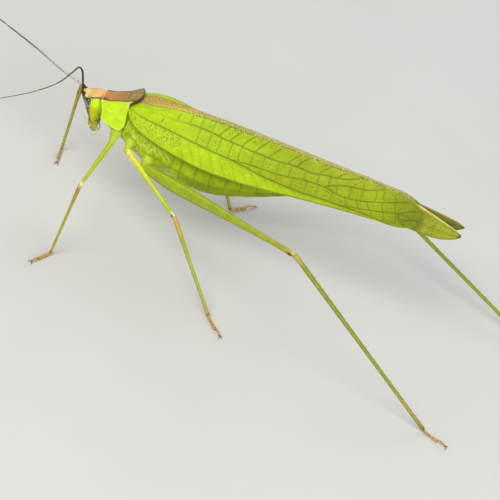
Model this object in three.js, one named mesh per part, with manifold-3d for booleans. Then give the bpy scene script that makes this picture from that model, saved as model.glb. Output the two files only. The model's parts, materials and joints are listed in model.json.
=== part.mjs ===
// Long horned grasshopper (bush katydid), standing on six feet, life size.
// Millimetres. +X runs to the tail, the head looks to -X, -Y is the insect's left, +Z is up.
// Every foot stands on a small flat at z = 0.
import * as THREE from 'three';
import { mergeVertices } from 'three/addons/utils/BufferGeometryUtils.js';
import Module from 'manifold-3d';

const wasm = await Module();
wasm.setup();

// Stance of the trunk: it leans a little to the insect's right, about a line at this height.
const leanAngle = THREE.MathUtils.degToRad(10);
const leanHeight = 11;
const trunkShift = -0.4;

// Clear gap left between neighbouring pieces.
const gap = 0.05;

// Wings. Stations run from the root to the rounded tip.
const wingSheet = 0.5;
const tegmenRoot = -0.1;
const tegmenTip = 32.5;
const hindWingRoot = 7;
const hindWingTip = 37;

// Pronotum: a saddle that slopes down towards the head.
const pronotumSheet = 0.45;
const pronotumFront = -4.05;
const pronotumRear = -0.15;

// Legs: joints in the standing frame and the swell of each length.
const legs = {
  front_left: {
    hip: [-1.4, -2.55, 9.85], knee: [-2.25, -10.1, 8.75], ankle: [-2.7, -12, 0.45], toe: [-4.15, -14.6, 0.2],
    coxa: 0.62, femur: [0.38, 0.3], femurPeak: 0.3, tibia: [0.3, 0.25], tympanum: 0.14,
  },
  front_right: {
    hip: [-1.5, 1.35, 9.35], knee: [-7.6, 6.3, 8.75], ankle: [-7.35, 4.95, 0.45], toe: [-7.05, 2.4, 0.2],
    coxa: 0.62, femur: [0.38, 0.3], femurPeak: 0.3, tibia: [0.3, 0.25], tympanum: 0.14,
  },
  middle_left: {
    hip: [0.35, -2.5, 9.7], knee: [8.1, -7.9, 8.0], ankle: [15.3, -11.55, 0.45], toe: [17.5, -14, 0.2],
    coxa: 0.6, femur: [0.4, 0.3], femurPeak: 0.3, tibia: [0.28, 0.25], tympanum: 0,
  },
  middle_right: {
    hip: [0.35, 1.35, 9.1], knee: [6.9, 8.05, 9.85], ankle: [12.35, 6.35, 0.45], toe: [14.85, 8.8, 0.2],
    coxa: 0.6, femur: [0.4, 0.3], femurPeak: 0.3, tibia: [0.28, 0.25], tympanum: 0,
  },
  hind_left: {
    hip: [2.75, -2.75, 8.6], knee: [21.8, -15.1, 15.4], ankle: [41.1, -15.3, 0.45], toe: [44, -16.3, 0.2],
    coxa: 0.72, femur: [0.88, 0.36], femurPeak: 0.2, tibia: [0.34, 0.26], tympanum: 0,
  },
  hind_right: {
    hip: [2.75, 1.35, 8.1], knee: [25.1, 9.5, 9.4], ankle: [48.2, 5.1, 0.45], toe: [51.2, 4.9, 0.2],
    coxa: 0.72, femur: [0.88, 0.36], femurPeak: 0.2, tibia: [0.34, 0.26], tympanum: 0,
  },
};
const coxaLength = 1.9;
const tarsusHeight = 0.24;

// Feelers, in the standing frame, from socket to tip.
const antennae = {
  left: [
    [-6.25, -0.85, 13.3], [-6.55, -0.72, 14.3], [-6.95, -0.8, 15.8], [-7.35, -1.5, 16.7], [-7.6, -3.3, 17.15],
    [-8.3, -6.6, 17.6], [-10.2, -11, 18.4], [-13.5, -16.5, 19.5], [-17.5, -22.5, 20.2], [-22, -28.5, 20],
  ],
  right: [
    [-6.65, 0.62, 13.1], [-9.3, 0.8, 13.7], [-12.9, 1.2, 14.9], [-16.7, 1.4, 16.1], [-22, 1.9, 17.5],
    [-29, 3.2, 18.5], [-36, 5.4, 18.4], [-43, 8.6, 16.8],
  ],
};

const clamp = THREE.MathUtils.clamp;
const lerp = THREE.MathUtils.lerp;
const smooth = (value, from, to) => THREE.MathUtils.smoothstep(value, from, to);

// A rounded reading of a short profile: pairs of station and value.
function profile(...pairs) {
  const stations = pairs.map((pair) => pair[0]);
  return (at) => {
    let k = 0;
    while (k < pairs.length - 2 && at > stations[k + 1]) k += 1;
    const span = stations[k + 1] - stations[k];
    const t = clamp((at - stations[k]) / span, 0, 1);
    const slope = (i) => {
      const a = Math.max(i - 1, 0);
      const b = Math.min(i + 1, pairs.length - 1);
      return (pairs[b][1] - pairs[a][1]) / (stations[b] - stations[a]);
    };
    const t2 = t * t;
    const t3 = t2 * t;
    return (2 * t3 - 3 * t2 + 1) * pairs[k][1] + (t3 - 2 * t2 + t) * span * slope(k)
      + (3 * t2 - 2 * t3) * pairs[k + 1][1] + (t3 - t2) * span * slope(k + 1);
  };
}

// Places a trunk point (upright body) in the standing frame.
function stand(x, y, z) {
  const rise = z - leanHeight;
  return new THREE.Vector3(
    x,
    trunkShift + y * Math.cos(leanAngle) + rise * Math.sin(leanAngle),
    leanHeight + rise * Math.cos(leanAngle) - y * Math.sin(leanAngle),
  );
}

// Welds a geometry and makes its faces look outward.
function closed(geometry) {
  geometry.deleteAttribute('normal');
  geometry.deleteAttribute('uv');
  const welded = mergeVertices(geometry, 1e-3);
  const spots = welded.getAttribute('position');
  const order = welded.getIndex();
  const a = new THREE.Vector3();
  const b = new THREE.Vector3();
  const c = new THREE.Vector3();
  const kept = [];
  let volume = 0;
  for (let i = 0; i < order.count; i += 3) {
    const [p, q, r] = [order.getX(i), order.getX(i + 1), order.getX(i + 2)];
    if (p !== q && q !== r && r !== p) {
      kept.push([p, q, r]);
      volume += a.fromBufferAttribute(spots, p).dot(
        b.fromBufferAttribute(spots, q).cross(c.fromBufferAttribute(spots, r)),
      );
    }
  }
  welded.setIndex((volume < 0 ? kept.map(([p, q, r]) => [p, r, q]) : kept).flat());
  welded.computeVertexNormals();
  return welded;
}

// A closed loft: place(s, angle, edge) gives each point; edge is 0 on the end poles.
function loft(around, along, place) {
  const geometry = new THREE.SphereGeometry(1, around, along + 1);
  const spots = geometry.getAttribute('position');
  for (let i = 0; i < spots.count; i += 1) {
    const row = Math.round((Math.acos(clamp(spots.getY(i), -1, 1)) * (along + 1)) / Math.PI);
    const pole = row === 0 || row === along + 1;
    const angle = pole ? 0 : Math.atan2(spots.getZ(i), spots.getX(i));
    const point = place(clamp((row - 1) / (along - 1), 0, 1), angle, pole ? 0 : 1);
    spots.setXYZ(i, point.x, point.y, point.z);
  }
  return closed(geometry);
}

// A limb along a smooth path; wide and deep are radii as functions of s, up sets the deep way.
function limb({ path, wide, deep = wide, up = [0, 0, 1], around = 8, along = 10, floor = -Infinity }) {
  const curve = new THREE.CatmullRomCurve3(path.map((p) => new THREE.Vector3(...p)), false, 'centripetal');
  const lift = new THREE.Vector3(...up);
  return loft(around, along, (s, angle, edge) => {
    const ahead = curve.getTangentAt(s);
    const side = new THREE.Vector3().crossVectors(ahead, lift).normalize();
    const top = new THREE.Vector3().crossVectors(side, ahead);
    const point = curve.getPointAt(s);
    point.addScaledVector(side, Math.cos(angle) * wide(s) * edge);
    point.addScaledVector(top, Math.sin(angle) * deep(s) * edge);
    point.z = Math.max(point.z, floor);
    return point;
  });
}

// A closed sheet of even thickness about surface(u, v).
function sheet(alongU, alongV, thickness, surface) {
  const geometry = new THREE.BoxGeometry(1, 1, 1, alongU, alongV, 1);
  const spots = geometry.getAttribute('position');
  const step = 1e-3;
  for (let i = 0; i < spots.count; i += 1) {
    const u = spots.getX(i) + 0.5;
    const v = spots.getY(i) + 0.5;
    const u0 = clamp(u, step, 1 - step);
    const v0 = clamp(v, step, 1 - step);
    const du = surface(u0 + step, v0).sub(surface(u0 - step, v0));
    const dv = surface(u0, v0 + step).sub(surface(u0, v0 - step));
    const point = surface(u, v).addScaledVector(du.cross(dv).normalize(), spots.getZ(i) * thickness);
    spots.setXYZ(i, point.x, point.y, point.z);
  }
  return closed(geometry);
}

function toManifold(geometry) {
  return new wasm.Manifold(new wasm.Mesh({
    numProp: 3,
    vertProperties: new Float32Array(geometry.getAttribute('position').array),
    triVerts: new Uint32Array(geometry.getIndex().array),
  }));
}

// Grows a geometry outward along its normals.
function swell(geometry, by) {
  const grown = geometry.clone();
  const spots = grown.getAttribute('position');
  const normals = grown.getAttribute('normal');
  for (let i = 0; i < spots.count; i += 1) {
    spots.setXYZ(
      i,
      spots.getX(i) + normals.getX(i) * by,
      spots.getY(i) + normals.getY(i) * by,
      spots.getZ(i) + normals.getZ(i) * by,
    );
  }
  return grown;
}

// Cuts a clear seat for each neighbour and keeps the largest body left.
function seat(geometry, ...neighbours) {
  let solid = toManifold(geometry);
  for (const neighbour of neighbours) solid = solid.subtract(toManifold(swell(neighbour, gap)));
  const bodies = solid.decompose().sort((a, b) => Math.abs(b.volume()) - Math.abs(a.volume()));
  const mesh = bodies[0].getMesh();
  const cut = new THREE.BufferGeometry();
  cut.setAttribute('position', new THREE.BufferAttribute(new Float32Array(mesh.vertProperties), 3));
  cut.setIndex(new THREE.BufferAttribute(new Uint32Array(mesh.triVerts), 1));
  return closed(cut);
}

const insect = new THREE.Group();
insect.name = 'long_horned_grasshopper';

function part(name, geometry, color, roughness = 0.45) {
  const mesh = new THREE.Mesh(geometry, new THREE.MeshStandardMaterial({ color, roughness, metalness: 0 }));
  mesh.name = name;
  insect.add(mesh);
}

const sides = [['left', -1], ['right', 1]];

// ---- trunk ----
const roundPower = (value, power) => Math.sign(value) * Math.abs(value) ** power;

// Pronotum: an arch in section, lobes hanging at both sides, the rear margin raised and rounded.
const discTop = profile([-4.05, 13.55], [-3, 13.92], [-2, 14.25], [-1.2, 14.68], [-0.15, 15.1]);
const discHalf = profile([-4.05, 1.38], [-2.4, 1.55], [-1.2, 1.72], [-0.15, 1.78]);
const lobeFoot = profile([-4.05, 12.5], [-3.5, 11.8], [-2.6, 11.32], [-1.5, 11.12], [-0.95, 11.4], [-0.6, 12.3], [-0.15, 13.6]);
const pronotum = sheet(8, 12, pronotumSheet, (u, v) => {
  const turn = (v - 0.5) * Math.PI;
  const lobe = smooth(Math.abs(v - 0.5), 0.2, 0.5);
  const x = lerp(pronotumFront + 0.1 * lobe, pronotumRear - 0.3 * lobe, u);
  const half = discHalf(x) - pronotumSheet / 2;
  const top = discTop(x) - pronotumSheet / 2;
  const arch = Math.abs(Math.cos(turn)) ** 0.62;
  return stand(x, roundPower(Math.sin(turn), 0.72) * half, lerp(lobeFoot(x), top, arch));
});

// Thorax: fills the pronotum in front, then carries the wing roots, coxae and abdomen.
const thoraxTop = profile([-3.75, 12.9], [-2, 13.35], [-0.4, 14], [1.5, 13.9], [3.5, 13], [5.6, 12.2]);
const thoraxFoot = profile([-3.75, 11.2], [-2.6, 10.35], [-1.2, 9.75], [0.5, 9.2], [2.5, 8.75], [4, 8.55], [5.6, 8.3]);
const thoraxHalf = profile([-3.75, 0.85], [-2.2, 1.1], [-0.8, 1.3], [0.4, 1.6], [2.5, 1.78], [4.4, 1.7], [5.6, 1.5]);
const thoraxWhole = loft(18, 9, (s, angle, edge) => {
  const x = lerp(-3.75, 5.6, s);
  const middle = (thoraxTop(x) + thoraxFoot(x)) / 2;
  const rise = (thoraxTop(x) - thoraxFoot(x)) / 2;
  const across = roundPower(Math.cos(angle), 0.85) * thoraxHalf(x);
  return stand(x, across * edge, middle + roundPower(Math.sin(angle), 0.9) * rise * edge);
});

// Abdomen: soft rings that narrow to the tail plate.
const abdomenTop = profile([5.7, 12.1], [9, 12.15], [13, 12.5], [16, 12.75], [18.5, 12.9], [20.2, 12.55]);
const abdomenFoot = profile([5.7, 7.85], [8, 7.35], [10.5, 7.55], [13.5, 8.5], [16.5, 9.9], [18.8, 11.1], [20.2, 11.9]);
const abdomenHalf = profile([5.7, 1.5], [9, 1.62], [13, 1.5], [16.5, 1.25], [18.8, 0.95], [20.2, 0.55]);
const abdomen = loft(16, 17, (s, angle, edge) => {
  const x = lerp(5.72, 20.2, s);
  const middle = (abdomenTop(x) + abdomenFoot(x)) / 2;
  const rise = (abdomenTop(x) - abdomenFoot(x)) / 2;
  const ring = 1 - 0.035 * Math.abs(Math.sin(s * Math.PI * 9)) ** 0.5;
  const swellRing = (1.965 - ring) * edge;
  const across = Math.cos(angle) * abdomenHalf(x) * swellRing;
  return stand(x, across, middle + Math.sin(angle) * rise * swellRing);
});
part('abdomen', abdomen, 0xa5c828);

for (const [side, sign] of sides) {
  part(`cercus_${side}`, limb({
    path: [stand(20.28, sign * 0.42, 12.2), stand(21.1, sign * 0.62, 12.3), stand(21.9, sign * 0.36, 12.55)]
      .map((p) => p.toArray()),
    wide: (s) => lerp(0.27, 0.2, s), around: 6, along: 4,
  }), 0xa8b43c);
}

// ---- head ----
const headFront = profile([9.95, -4.5], [10.6, -4.95], [11.5, -5.6], [12.4, -6.2], [12.95, -6.5], [13.4, -6.05], [13.7, -5.2]);
const headBack = profile([9.95, -4], [10.6, -3.75], [11.5, -3.55], [12.5, -3.5], [13, -3.6], [13.4, -4.1], [13.7, -4.6]);
const headHalf = profile([9.95, 0.85], [10.6, 1.2], [11.4, 1.38], [12.3, 1.4], [13, 1.22], [13.45, 0.9], [13.7, 0.4]);
const headWhole = loft(18, 11, (s, angle, edge) => {
  const z = lerp(9.95, 13.7, s);
  const middle = (headFront(z) + headBack(z)) / 2;
  const reach = (headBack(z) - headFront(z)) / 2;
  const narrow = 1 - 0.35 * Math.max(-Math.cos(angle), 0) ** 2 - 0.22 * Math.max(Math.cos(angle), 0) ** 2;
  const across = roundPower(Math.sin(angle), 0.85) * headHalf(z) * narrow;
  return stand(middle + Math.cos(angle) * reach * edge, across * edge, z);
});

const eyes = {};
const scapes = {};
const mandibles = {};
for (const [side, sign] of sides) {
  eyes[side] = loft(12, 7, (s, angle) => {
    const polar = s * Math.PI;
    const ring = Math.sin(polar);
    return stand(
      -5.3 + Math.cos(angle) * ring * 0.43,
      sign * (1.12 + Math.cos(polar) * 0.44),
      12.68 + Math.sin(angle) * ring * 0.52,
    );
  });
  const root = stand(-5.95, sign * 0.42, 12.85);
  const socket = new THREE.Vector3(...antennae[side][0]);
  scapes[side] = limb({
    path: [root.toArray(), socket.toArray()],
    wide: (s) => 0.3 * Math.sin(lerp(0.5, 2.4, s)) ** 0.5,
    up: [0, 1, 0.2], around: 8, along: 4,
  });
  mandibles[side] = limb({
    path: [stand(-4.05, sign * 0.72, 10.15), stand(-3.98, sign * 0.66, 9.65), stand(-3.88, sign * 0.45, 9.3)]
      .map((p) => p.toArray()),
    wide: (s) => lerp(0.34, 0.18, s), deep: (s) => lerp(0.26, 0.16, s), up: [0, 1, 0], around: 6, along: 4,
  });
}
const labrum = limb({
  path: [stand(-4.62, 0, 10.1), stand(-4.35, 0, 9.6), stand(-4.15, 0, 9.15)].map((p) => p.toArray()),
  wide: (s) => lerp(0.55, 0.36, s), deep: (s) => lerp(0.28, 0.2, s), up: [-1, 0, 0.2], around: 10, along: 4,
});
const head = seat(headWhole, eyes.left, eyes.right, scapes.left, scapes.right, labrum, mandibles.left, mandibles.right);
part('head', head, 0xb9be3c);
part('clypeus_labrum', labrum, 0xb4a83c);

for (const [side, sign] of sides) {
  part(`eye_${side}`, eyes[side], 0x6e8c96, 0.2);
  part(`antenna_base_${side}`, scapes[side], 0x2a2620);
  part(`mandible_${side}`, seat(mandibles[side], labrum), 0xb0a040);
  const route = antennae[side].map((p) => new THREE.Vector3(...p));
  const ahead = route[1].clone().sub(route[0]).normalize();
  route[0].addScaledVector(ahead, 0.09);
  part(`antenna_${side}`, limb({
    path: route.map((p) => p.toArray()), wide: (s) => lerp(0.26, 0.23, s), up: [0.2, 0.1, 1], around: 6, along: 14,
  }), 0x3a3024);
  part(`maxillary_palp_${side}`, limb({
    path: [
      stand(-4.35, sign * 1.12, 9.95), stand(-4.75, sign * 1.2, 9.5), stand(-5.3, sign * 1.12, 9.85),
      stand(-5.8, sign * 0.98, 10.4),
    ].map((p) => p.toArray()),
    wide: () => 0.22, up: [0, 1, 0], around: 6, along: 5,
  }), 0xc0a850);
  part(`labial_palp_${side}`, limb({
    path: [
      stand(-3.6, sign * 0.5, 9.8), stand(-3.35, sign * 0.62, 9.25), stand(-3.6, sign * 0.66, 8.7),
      stand(-4.1, sign * 0.6, 8.4),
    ].map((p) => p.toArray()),
    wide: () => 0.22, up: [0, 1, 0], around: 6, along: 5,
  }), 0xc0a850);
}

// ---- legs ----
const coxae = [];
for (const [name, leg] of Object.entries(legs)) {
  const sign = name.endsWith('left') ? -1 : 1;
  const hip = new THREE.Vector3(...leg.hip);
  const knee = new THREE.Vector3(...leg.knee);
  const ankle = new THREE.Vector3(...leg.ankle);
  const toe = new THREE.Vector3(...leg.toe);
  const thigh = knee.clone().sub(hip).normalize();
  const shin = ankle.clone().sub(knee).normalize();
  const bend = new THREE.Vector3().crossVectors(thigh, shin).normalize();
  const overKnee = new THREE.Vector3().crossVectors(bend, thigh).negate();

  // The coxa leaves the trunk high and inward and ends under the hip.
  const inward = hip.clone().add(stand(0, -sign * 0.85, leanHeight + 1.1).sub(stand(0, 0, leanHeight)).setLength(coxaLength));
  const coxa = limb({
    path: [inward.toArray(), hip.toArray()],
    wide: (s) => leg.coxa * lerp(0.85, 1, smooth(s, 0, 0.4)) * lerp(1, 0.62, smooth(s, 0.45, 1)), up: [1, 0, 0],
    around: 8, along: 6,
  });
  coxae.push(coxa);

  const [thick, thin] = leg.femur;
  const swellAt = leg.femurPeak;
  const hipSize = leg.coxa * 0.62;
  const femurSize = (s) => {
    const rise = lerp(hipSize * 0.8, thick, smooth(s, 0, swellAt));
    const fall = lerp(thick, thin, smooth(s, swellAt, 0.86) ** 0.75);
    const kneeLobe = 0.12 * smooth(s, 0.93, 0.985);
    return (s < swellAt ? rise : fall + kneeLobe) * lerp(1, 0.6, smooth(s, 0.985, 1));
  };
  const femurEnd = knee.clone().addScaledVector(thigh, -0.02);
  const femur = limb({
    path: [hip.clone().addScaledVector(thigh, 0.1).toArray(), femurEnd.toArray()],
    wide: (s) => femurSize(s) * 0.8, deep: femurSize, up: overKnee.toArray(),
    around: name.startsWith('hind') ? 10 : 8, along: name.startsWith('hind') ? 12 : 8,
  });

  const [head0, tail0] = leg.tibia;
  const shinStart = knee.clone().addScaledVector(shin, 0.1);
  const tibiaSize = (s) => lerp(head0, tail0, smooth(s, 0, 0.3))
    + leg.tympanum * smooth(s, 0.02, 0.1) * (1 - smooth(s, 0.16, 0.3)) + 0.05 * smooth(s, 0.94, 1);
  const tibia = limb({
    path: [shinStart.toArray(), knee.clone().lerp(ankle, 0.5).toArray(), ankle.toArray()],
    wide: tibiaSize, up: overKnee.toArray(), around: 6, along: 8,
  });

  // Four tarsal lobes and the claw segment, flat where they meet the floor.
  const walk = toe.clone().sub(ankle);
  const tarsusStart = ankle.clone().addScaledVector(walk, 0.1).setZ(tarsusHeight);
  const tarsus = limb({
    path: [tarsusStart.toArray(), ankle.clone().lerp(toe, 0.5).setZ(tarsusHeight).toArray(), toe.clone().setZ(tarsusHeight).toArray()],
    wide: (s) => (s < 0.66 ? 0.27 + 0.14 * Math.abs(Math.sin(s * Math.PI * 4.5)) : 0.26 + 0.12 * smooth(s, 0.85, 1)),
    deep: () => tarsusHeight + 0.03, around: 6, along: 12, floor: 0,
  });

  part(`coxa_${name}`, seat(coxa, femur, pronotum), 0x9fb52c);
  part(`femur_${name}`, seat(femur, tibia), name.startsWith('middle') ? 0xd6d83c : 0xa8c228);
  part(`tibia_${name}`, seat(tibia, tarsus), name.startsWith('front') ? 0xbe822a : 0x96962c);
  part(`tarsus_${name}`, tarsus, 0xb07a34);
}

// ---- wings ----
const wingTop = profile([-0.1, 14.9], [1.5, 15.25], [4, 15.65], [8, 15.95], [13, 16.15], [22, 16.25], [28, 16.3], [31, 15.9], [32.5, 14.6]);
const wingFoot = profile([-0.1, 13.3], [1, 12.75], [2.4, 12.05], [5.6, 10.95], [8.7, 10.5], [13, 10.65], [17.7, 11.35], [24.6, 12.3], [29.4, 12.75], [31.6, 13.25], [32.5, 14.2]);
const dorsalHalf = profile([-0.1, 1.75], [2, 1.85], [4, 1.5], [6.5, 0.85], [9, 0.5], [20, 0.46], [27, 0.9], [32.5, 0.9]);
const shoulderDrop = profile([-0.1, 0.12], [4, 0.2], [9, 0.55], [32.5, 0.55]);
const flankOut = profile([-0.1, 2.05], [3, 2.3], [7, 2.32], [13, 2.05], [21, 1.6], [27, 1.3], [32.5, 1.1]);
const seamLine = profile([-0.1, 0.5], [4, 0.4], [8, 0], [32.5, 0]);
const ridgeHalf = profile([-0.1, 0.05], [5, 0.12], [9, 0.31], [21, 0.31], [27, 0.84], [32.5, 0.84]);
const dorsalShare = 0.28;

// The wing's middle surface: v runs from the seam on the back, over the shoulder, to the lower edge.
function tegmen(sign) {
  return sheet(18, 7, wingSheet, (u, v) => {
    const x = lerp(tegmenRoot, tegmenTip, u);
    const top = wingTop(x) - wingSheet * 0.3;
    const shoulderY = sign * dorsalHalf(x) * (sign > 0 ? 1.14 : 1);
    const shoulderZ = top - shoulderDrop(x);
    if (v < dorsalShare) {
      const t = v / dorsalShare;
      return stand(x, lerp(seamLine(x) + sign * ridgeHalf(x), shoulderY, t), lerp(top, shoulderZ, t * t));
    }
    const t = (v - dorsalShare) / (1 - dorsalShare);
    const bulge = 0.22 * Math.sin(Math.PI * t) * smooth(x, -1, 4) * (1 - smooth(x, 24, 31));
    const foot = wingFoot(x) + wingSheet * 0.1;
    return stand(x, lerp(shoulderY, sign * flankOut(x), t) + sign * bulge, lerp(shoulderZ, foot, t));
  });
}

const fanTop = profile([7, 14.3], [13, 14.4], [22, 14.6], [28, 15.1], [31.5, 15.85], [34.5, 15.7], [36.4, 15.2], [37, 14.95]);
const fanFoot = profile([7, 13], [13, 12.95], [22, 13], [28, 12.9], [33, 13], [35.5, 13.55], [36.6, 14.2], [37, 14.6]);
function hindWing(sign) {
  return sheet(12, 2, wingSheet - 0.04, (u, v) => {
    const x = lerp(hindWingRoot, hindWingTip, u);
    return stand(x, sign * (0.31 + 0.06 * v), lerp(fanTop(x), fanFoot(x), v));
  });
}

const tegmina = { left: tegmen(-1), right: tegmen(1) };
for (const [side, sign] of sides) {
  part(`tegmen_${side}`, tegmina[side], 0xb0d820, 0.5);
  part(`hind_wing_${side}`, hindWing(sign), 0x96a028, 0.5);
}

const thorax = seat(thoraxWhole, pronotum, head, ...coxae, tegmina.left, tegmina.right);
part('thorax', thorax, 0x9eb62a);
part('pronotum', seat(pronotum, head, tegmina.left, tegmina.right), 0xbee128);

// The record's origin: middle of the footprint, on the floor.
const box = new THREE.Box3().setFromObject(insect, true);
insect.position.set(-(box.min.x + box.max.x) / 2, -(box.min.y + box.max.y) / 2, 0);

export default insect;
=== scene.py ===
import json
import math
import random
from functools import partial
import bmesh
import bpy
import numpy as np
from mathutils import Matrix, Vector

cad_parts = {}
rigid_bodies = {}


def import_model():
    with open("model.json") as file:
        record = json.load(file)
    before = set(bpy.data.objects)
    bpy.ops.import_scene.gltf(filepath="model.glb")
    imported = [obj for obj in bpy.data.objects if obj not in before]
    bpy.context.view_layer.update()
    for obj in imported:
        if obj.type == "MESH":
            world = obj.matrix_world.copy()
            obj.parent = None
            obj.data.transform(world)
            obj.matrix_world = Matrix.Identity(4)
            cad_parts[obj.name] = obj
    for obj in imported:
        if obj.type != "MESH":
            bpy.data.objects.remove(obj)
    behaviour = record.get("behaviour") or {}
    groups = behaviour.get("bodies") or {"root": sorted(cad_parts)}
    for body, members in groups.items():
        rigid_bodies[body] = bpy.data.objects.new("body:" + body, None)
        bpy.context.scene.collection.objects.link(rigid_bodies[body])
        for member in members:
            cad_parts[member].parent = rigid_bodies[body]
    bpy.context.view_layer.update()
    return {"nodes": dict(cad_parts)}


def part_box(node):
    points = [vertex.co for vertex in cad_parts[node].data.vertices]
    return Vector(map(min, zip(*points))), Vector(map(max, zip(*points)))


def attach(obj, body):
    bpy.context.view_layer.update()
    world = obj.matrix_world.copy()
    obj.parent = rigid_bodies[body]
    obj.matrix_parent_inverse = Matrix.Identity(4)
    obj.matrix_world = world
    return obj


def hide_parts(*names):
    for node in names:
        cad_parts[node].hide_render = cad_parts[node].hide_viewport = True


for leftover in list(bpy.data.objects):
    bpy.data.objects.remove(leftover)
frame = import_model()
mm = 0.001
print("frame loaded")


def lerp(a, b, t):
    return a + (b - a) * t


def smooth(value, low, high):
    t = min(max((value - low) / (high - low), 0.0), 1.0)
    return t * t * (3 - 2 * t)


def bell(value, middle, width):
    return math.exp(-((value - middle) / width) ** 2)


# a rounded reading of a short profile: pairs of station and value
def profile(*pairs):
    spots = np.array([pair[0] for pair in pairs], dtype=float)
    values = np.array([pair[1] for pair in pairs], dtype=float)
    last = len(pairs) - 1
    slopes = []
    for i in range(last + 1):
        before, after = max(i - 1, 0), min(i + 1, last)
        slopes.append((values[after] - values[before]) / (spots[after] - spots[before]))

    def read(at):
        k = int(min(max(np.searchsorted(spots, at) - 1, 0), last - 1))
        span = spots[k + 1] - spots[k]
        t = min(max((at - spots[k]) / span, 0.0), 1.0)
        t2, t3 = t * t, t * t * t
        return ((2 * t3 - 3 * t2 + 1) * values[k] + (t3 - 2 * t2 + t) * span * slopes[k]
                + (3 * t2 - 2 * t3) * values[k + 1] + (t3 - t2) * span * slopes[k + 1])
    return read


# the trunk leans over its own line; its place in the frame comes from the middle of the two eyes
trunk = {"lean": math.radians(10), "height": 11, "eyeMiddle": (-5.3, 0, 12.68),
         "shift": (0, -0.4, 0)}   # the shift is how far the trunk stands from the line of the feet


def leanPoint(x, y, z):
    rise = z - trunk["height"]
    c, s = math.cos(trunk["lean"]), math.sin(trunk["lean"])
    return Vector((x, y * c + rise * s, trunk["height"] + rise * c - y * s)) * mm


eyeCorners = [Vector(corner) for name in ("eye_left", "eye_right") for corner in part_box(name)]
trunkOrigin = sum(eyeCorners, Vector()) / len(eyeCorners) - leanPoint(*trunk["eyeMiddle"])
trunkShift = Vector(trunk["shift"]) * mm


def stand(x, y, z):
    return leanPoint(x, y, z) + trunkOrigin


def ground(x, y, z):
    return Vector((x, y, z)) * mm + trunkOrigin - trunkShift


# each mesh carries a few painted masks, which its material reads as attributes
maskNames = ("along", "around", "markA", "markB", "markC", "markD", "markE")


def newMesh():
    bm = bmesh.new()
    for key in maskNames:
        bm.verts.layers.float.new(key)
    return bm


def paint(bm, vert, masks):
    for key, value in masks.items():
        vert[bm.verts.layers.float[key]] = value


def ringEdges(ring):
    members = set(ring)
    touching = dict.fromkeys(edge for vert in ring for edge in vert.link_edges)
    return [edge for edge in touching if set(edge.verts) <= members]


# a closed skin grown ring by ring: place(s, angle) gives the point, masks(s, angle) what is painted there
def loft(bm, rings, segments, place, masks=None, ease=None):
    ring = list(bmesh.ops.create_circle(bm, cap_ends=False, segments=segments, radius=1)["verts"])
    edges = ringEdges(ring)
    for i in range(rings + 1):
        s = ease(i / rings) if ease else i / rings
        for j, vert in enumerate(ring):
            angle = 2 * math.pi * j / segments
            vert.co = place(s, angle)
            paint(bm, vert, {"along": s, "around": j / segments})
            if masks:
                paint(bm, vert, masks(s, angle))
        if i in (0, rings):
            lid = bmesh.ops.contextual_create(bm, geom=edges)["faces"]
            for tip in bmesh.ops.poke(bm, faces=lid)["verts"]:
                tip.co = sum((vert.co for vert in ring), Vector()) / segments
                paint(bm, tip, {"along": s})
                if masks:
                    paint(bm, tip, masks(s, 0))
            edges = ringEdges(ring)
        if i < rings:
            grown = bmesh.ops.extrude_edge_only(bm, edges=edges)["geom"]
            fresh = {item for item in grown if isinstance(item, bmesh.types.BMVert)}
            edges = [item for item in grown
                     if isinstance(item, bmesh.types.BMEdge) and set(item.verts) <= fresh]
            ring = [next(o for o in (e.other_vert(v) for e in v.link_edges) if o in fresh) for v in ring]


def roundEnds(t):
    return 0.5 - 0.5 * math.cos(math.pi * t)


def lobed(t, low=0.45, high=2.7, power=0.5):
    return max(math.sin(lerp(low, high, t)), 0) ** power


# a limb along a path: point(s), with its own up; wide and deep are radii in millimetres
def limb(bm, point, up, wide, deep=None, rings=40, segments=20, bulge=None, masks=None, floor=None):
    deep = deep or wide

    def place(s, angle):
        ahead = (point(min(s + 0.01, 1)) - point(max(s - 0.01, 0))).normalized()
        side = ahead.cross(up).normalized()
        top = side.cross(ahead)
        swell = bulge(s, angle) if bulge else 1
        spot = point(s) + side * (math.cos(angle) * wide(s) * swell * mm)
        spot += top * (math.sin(angle) * deep(s) * swell * mm)
        if floor is not None:
            spot.z = max(spot.z, floor)
        return spot
    loft(bm, rings, segments, place, masks)


# a smooth path through a few points, read from 0 to 1 by its length
def route(points):
    knots = [Vector(p) for p in points]
    ends = [knots[0] * 2 - knots[1], *knots, knots[-1] * 2 - knots[-2]]
    dense = []
    steps = 24
    for a, b, c, d in zip(ends, ends[1:], ends[2:], ends[3:]):
        for step in range(steps):
            t = step / steps
            dense.append(0.5 * ((2 * b) + (c - a) * t + (2 * a - 5 * b + 4 * c - d) * t * t
                                + (3 * b - a - 3 * c + d) * t ** 3))
    dense.append(knots[-1])
    lengths = np.concatenate([[0], np.cumsum([(q - p).length for p, q in zip(dense, dense[1:])])])

    def point(s):
        goal = s * lengths[-1]
        k = int(min(max(np.searchsorted(lengths, goal) - 1, 0), len(dense) - 2))
        return dense[k].lerp(dense[k + 1], (goal - lengths[k]) / max(lengths[k + 1] - lengths[k], 1e-12))
    return point


# how far a spot on the flank lies from a set of curved strokes, each drawn through a few points
def strokeReader(strokes):
    spots = []
    for stroke in strokes:
        path = route([(x, 0, z) for x, z in stroke])
        steps = 30
        spots += [(path(k / steps).x, path(k / steps).z) for k in range(steps + 1)]
    spots = np.array(spots)
    return lambda x, z: math.sqrt(((spots[:, 0] - x) ** 2 + (spots[:, 1] - z) ** 2).min())


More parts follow.
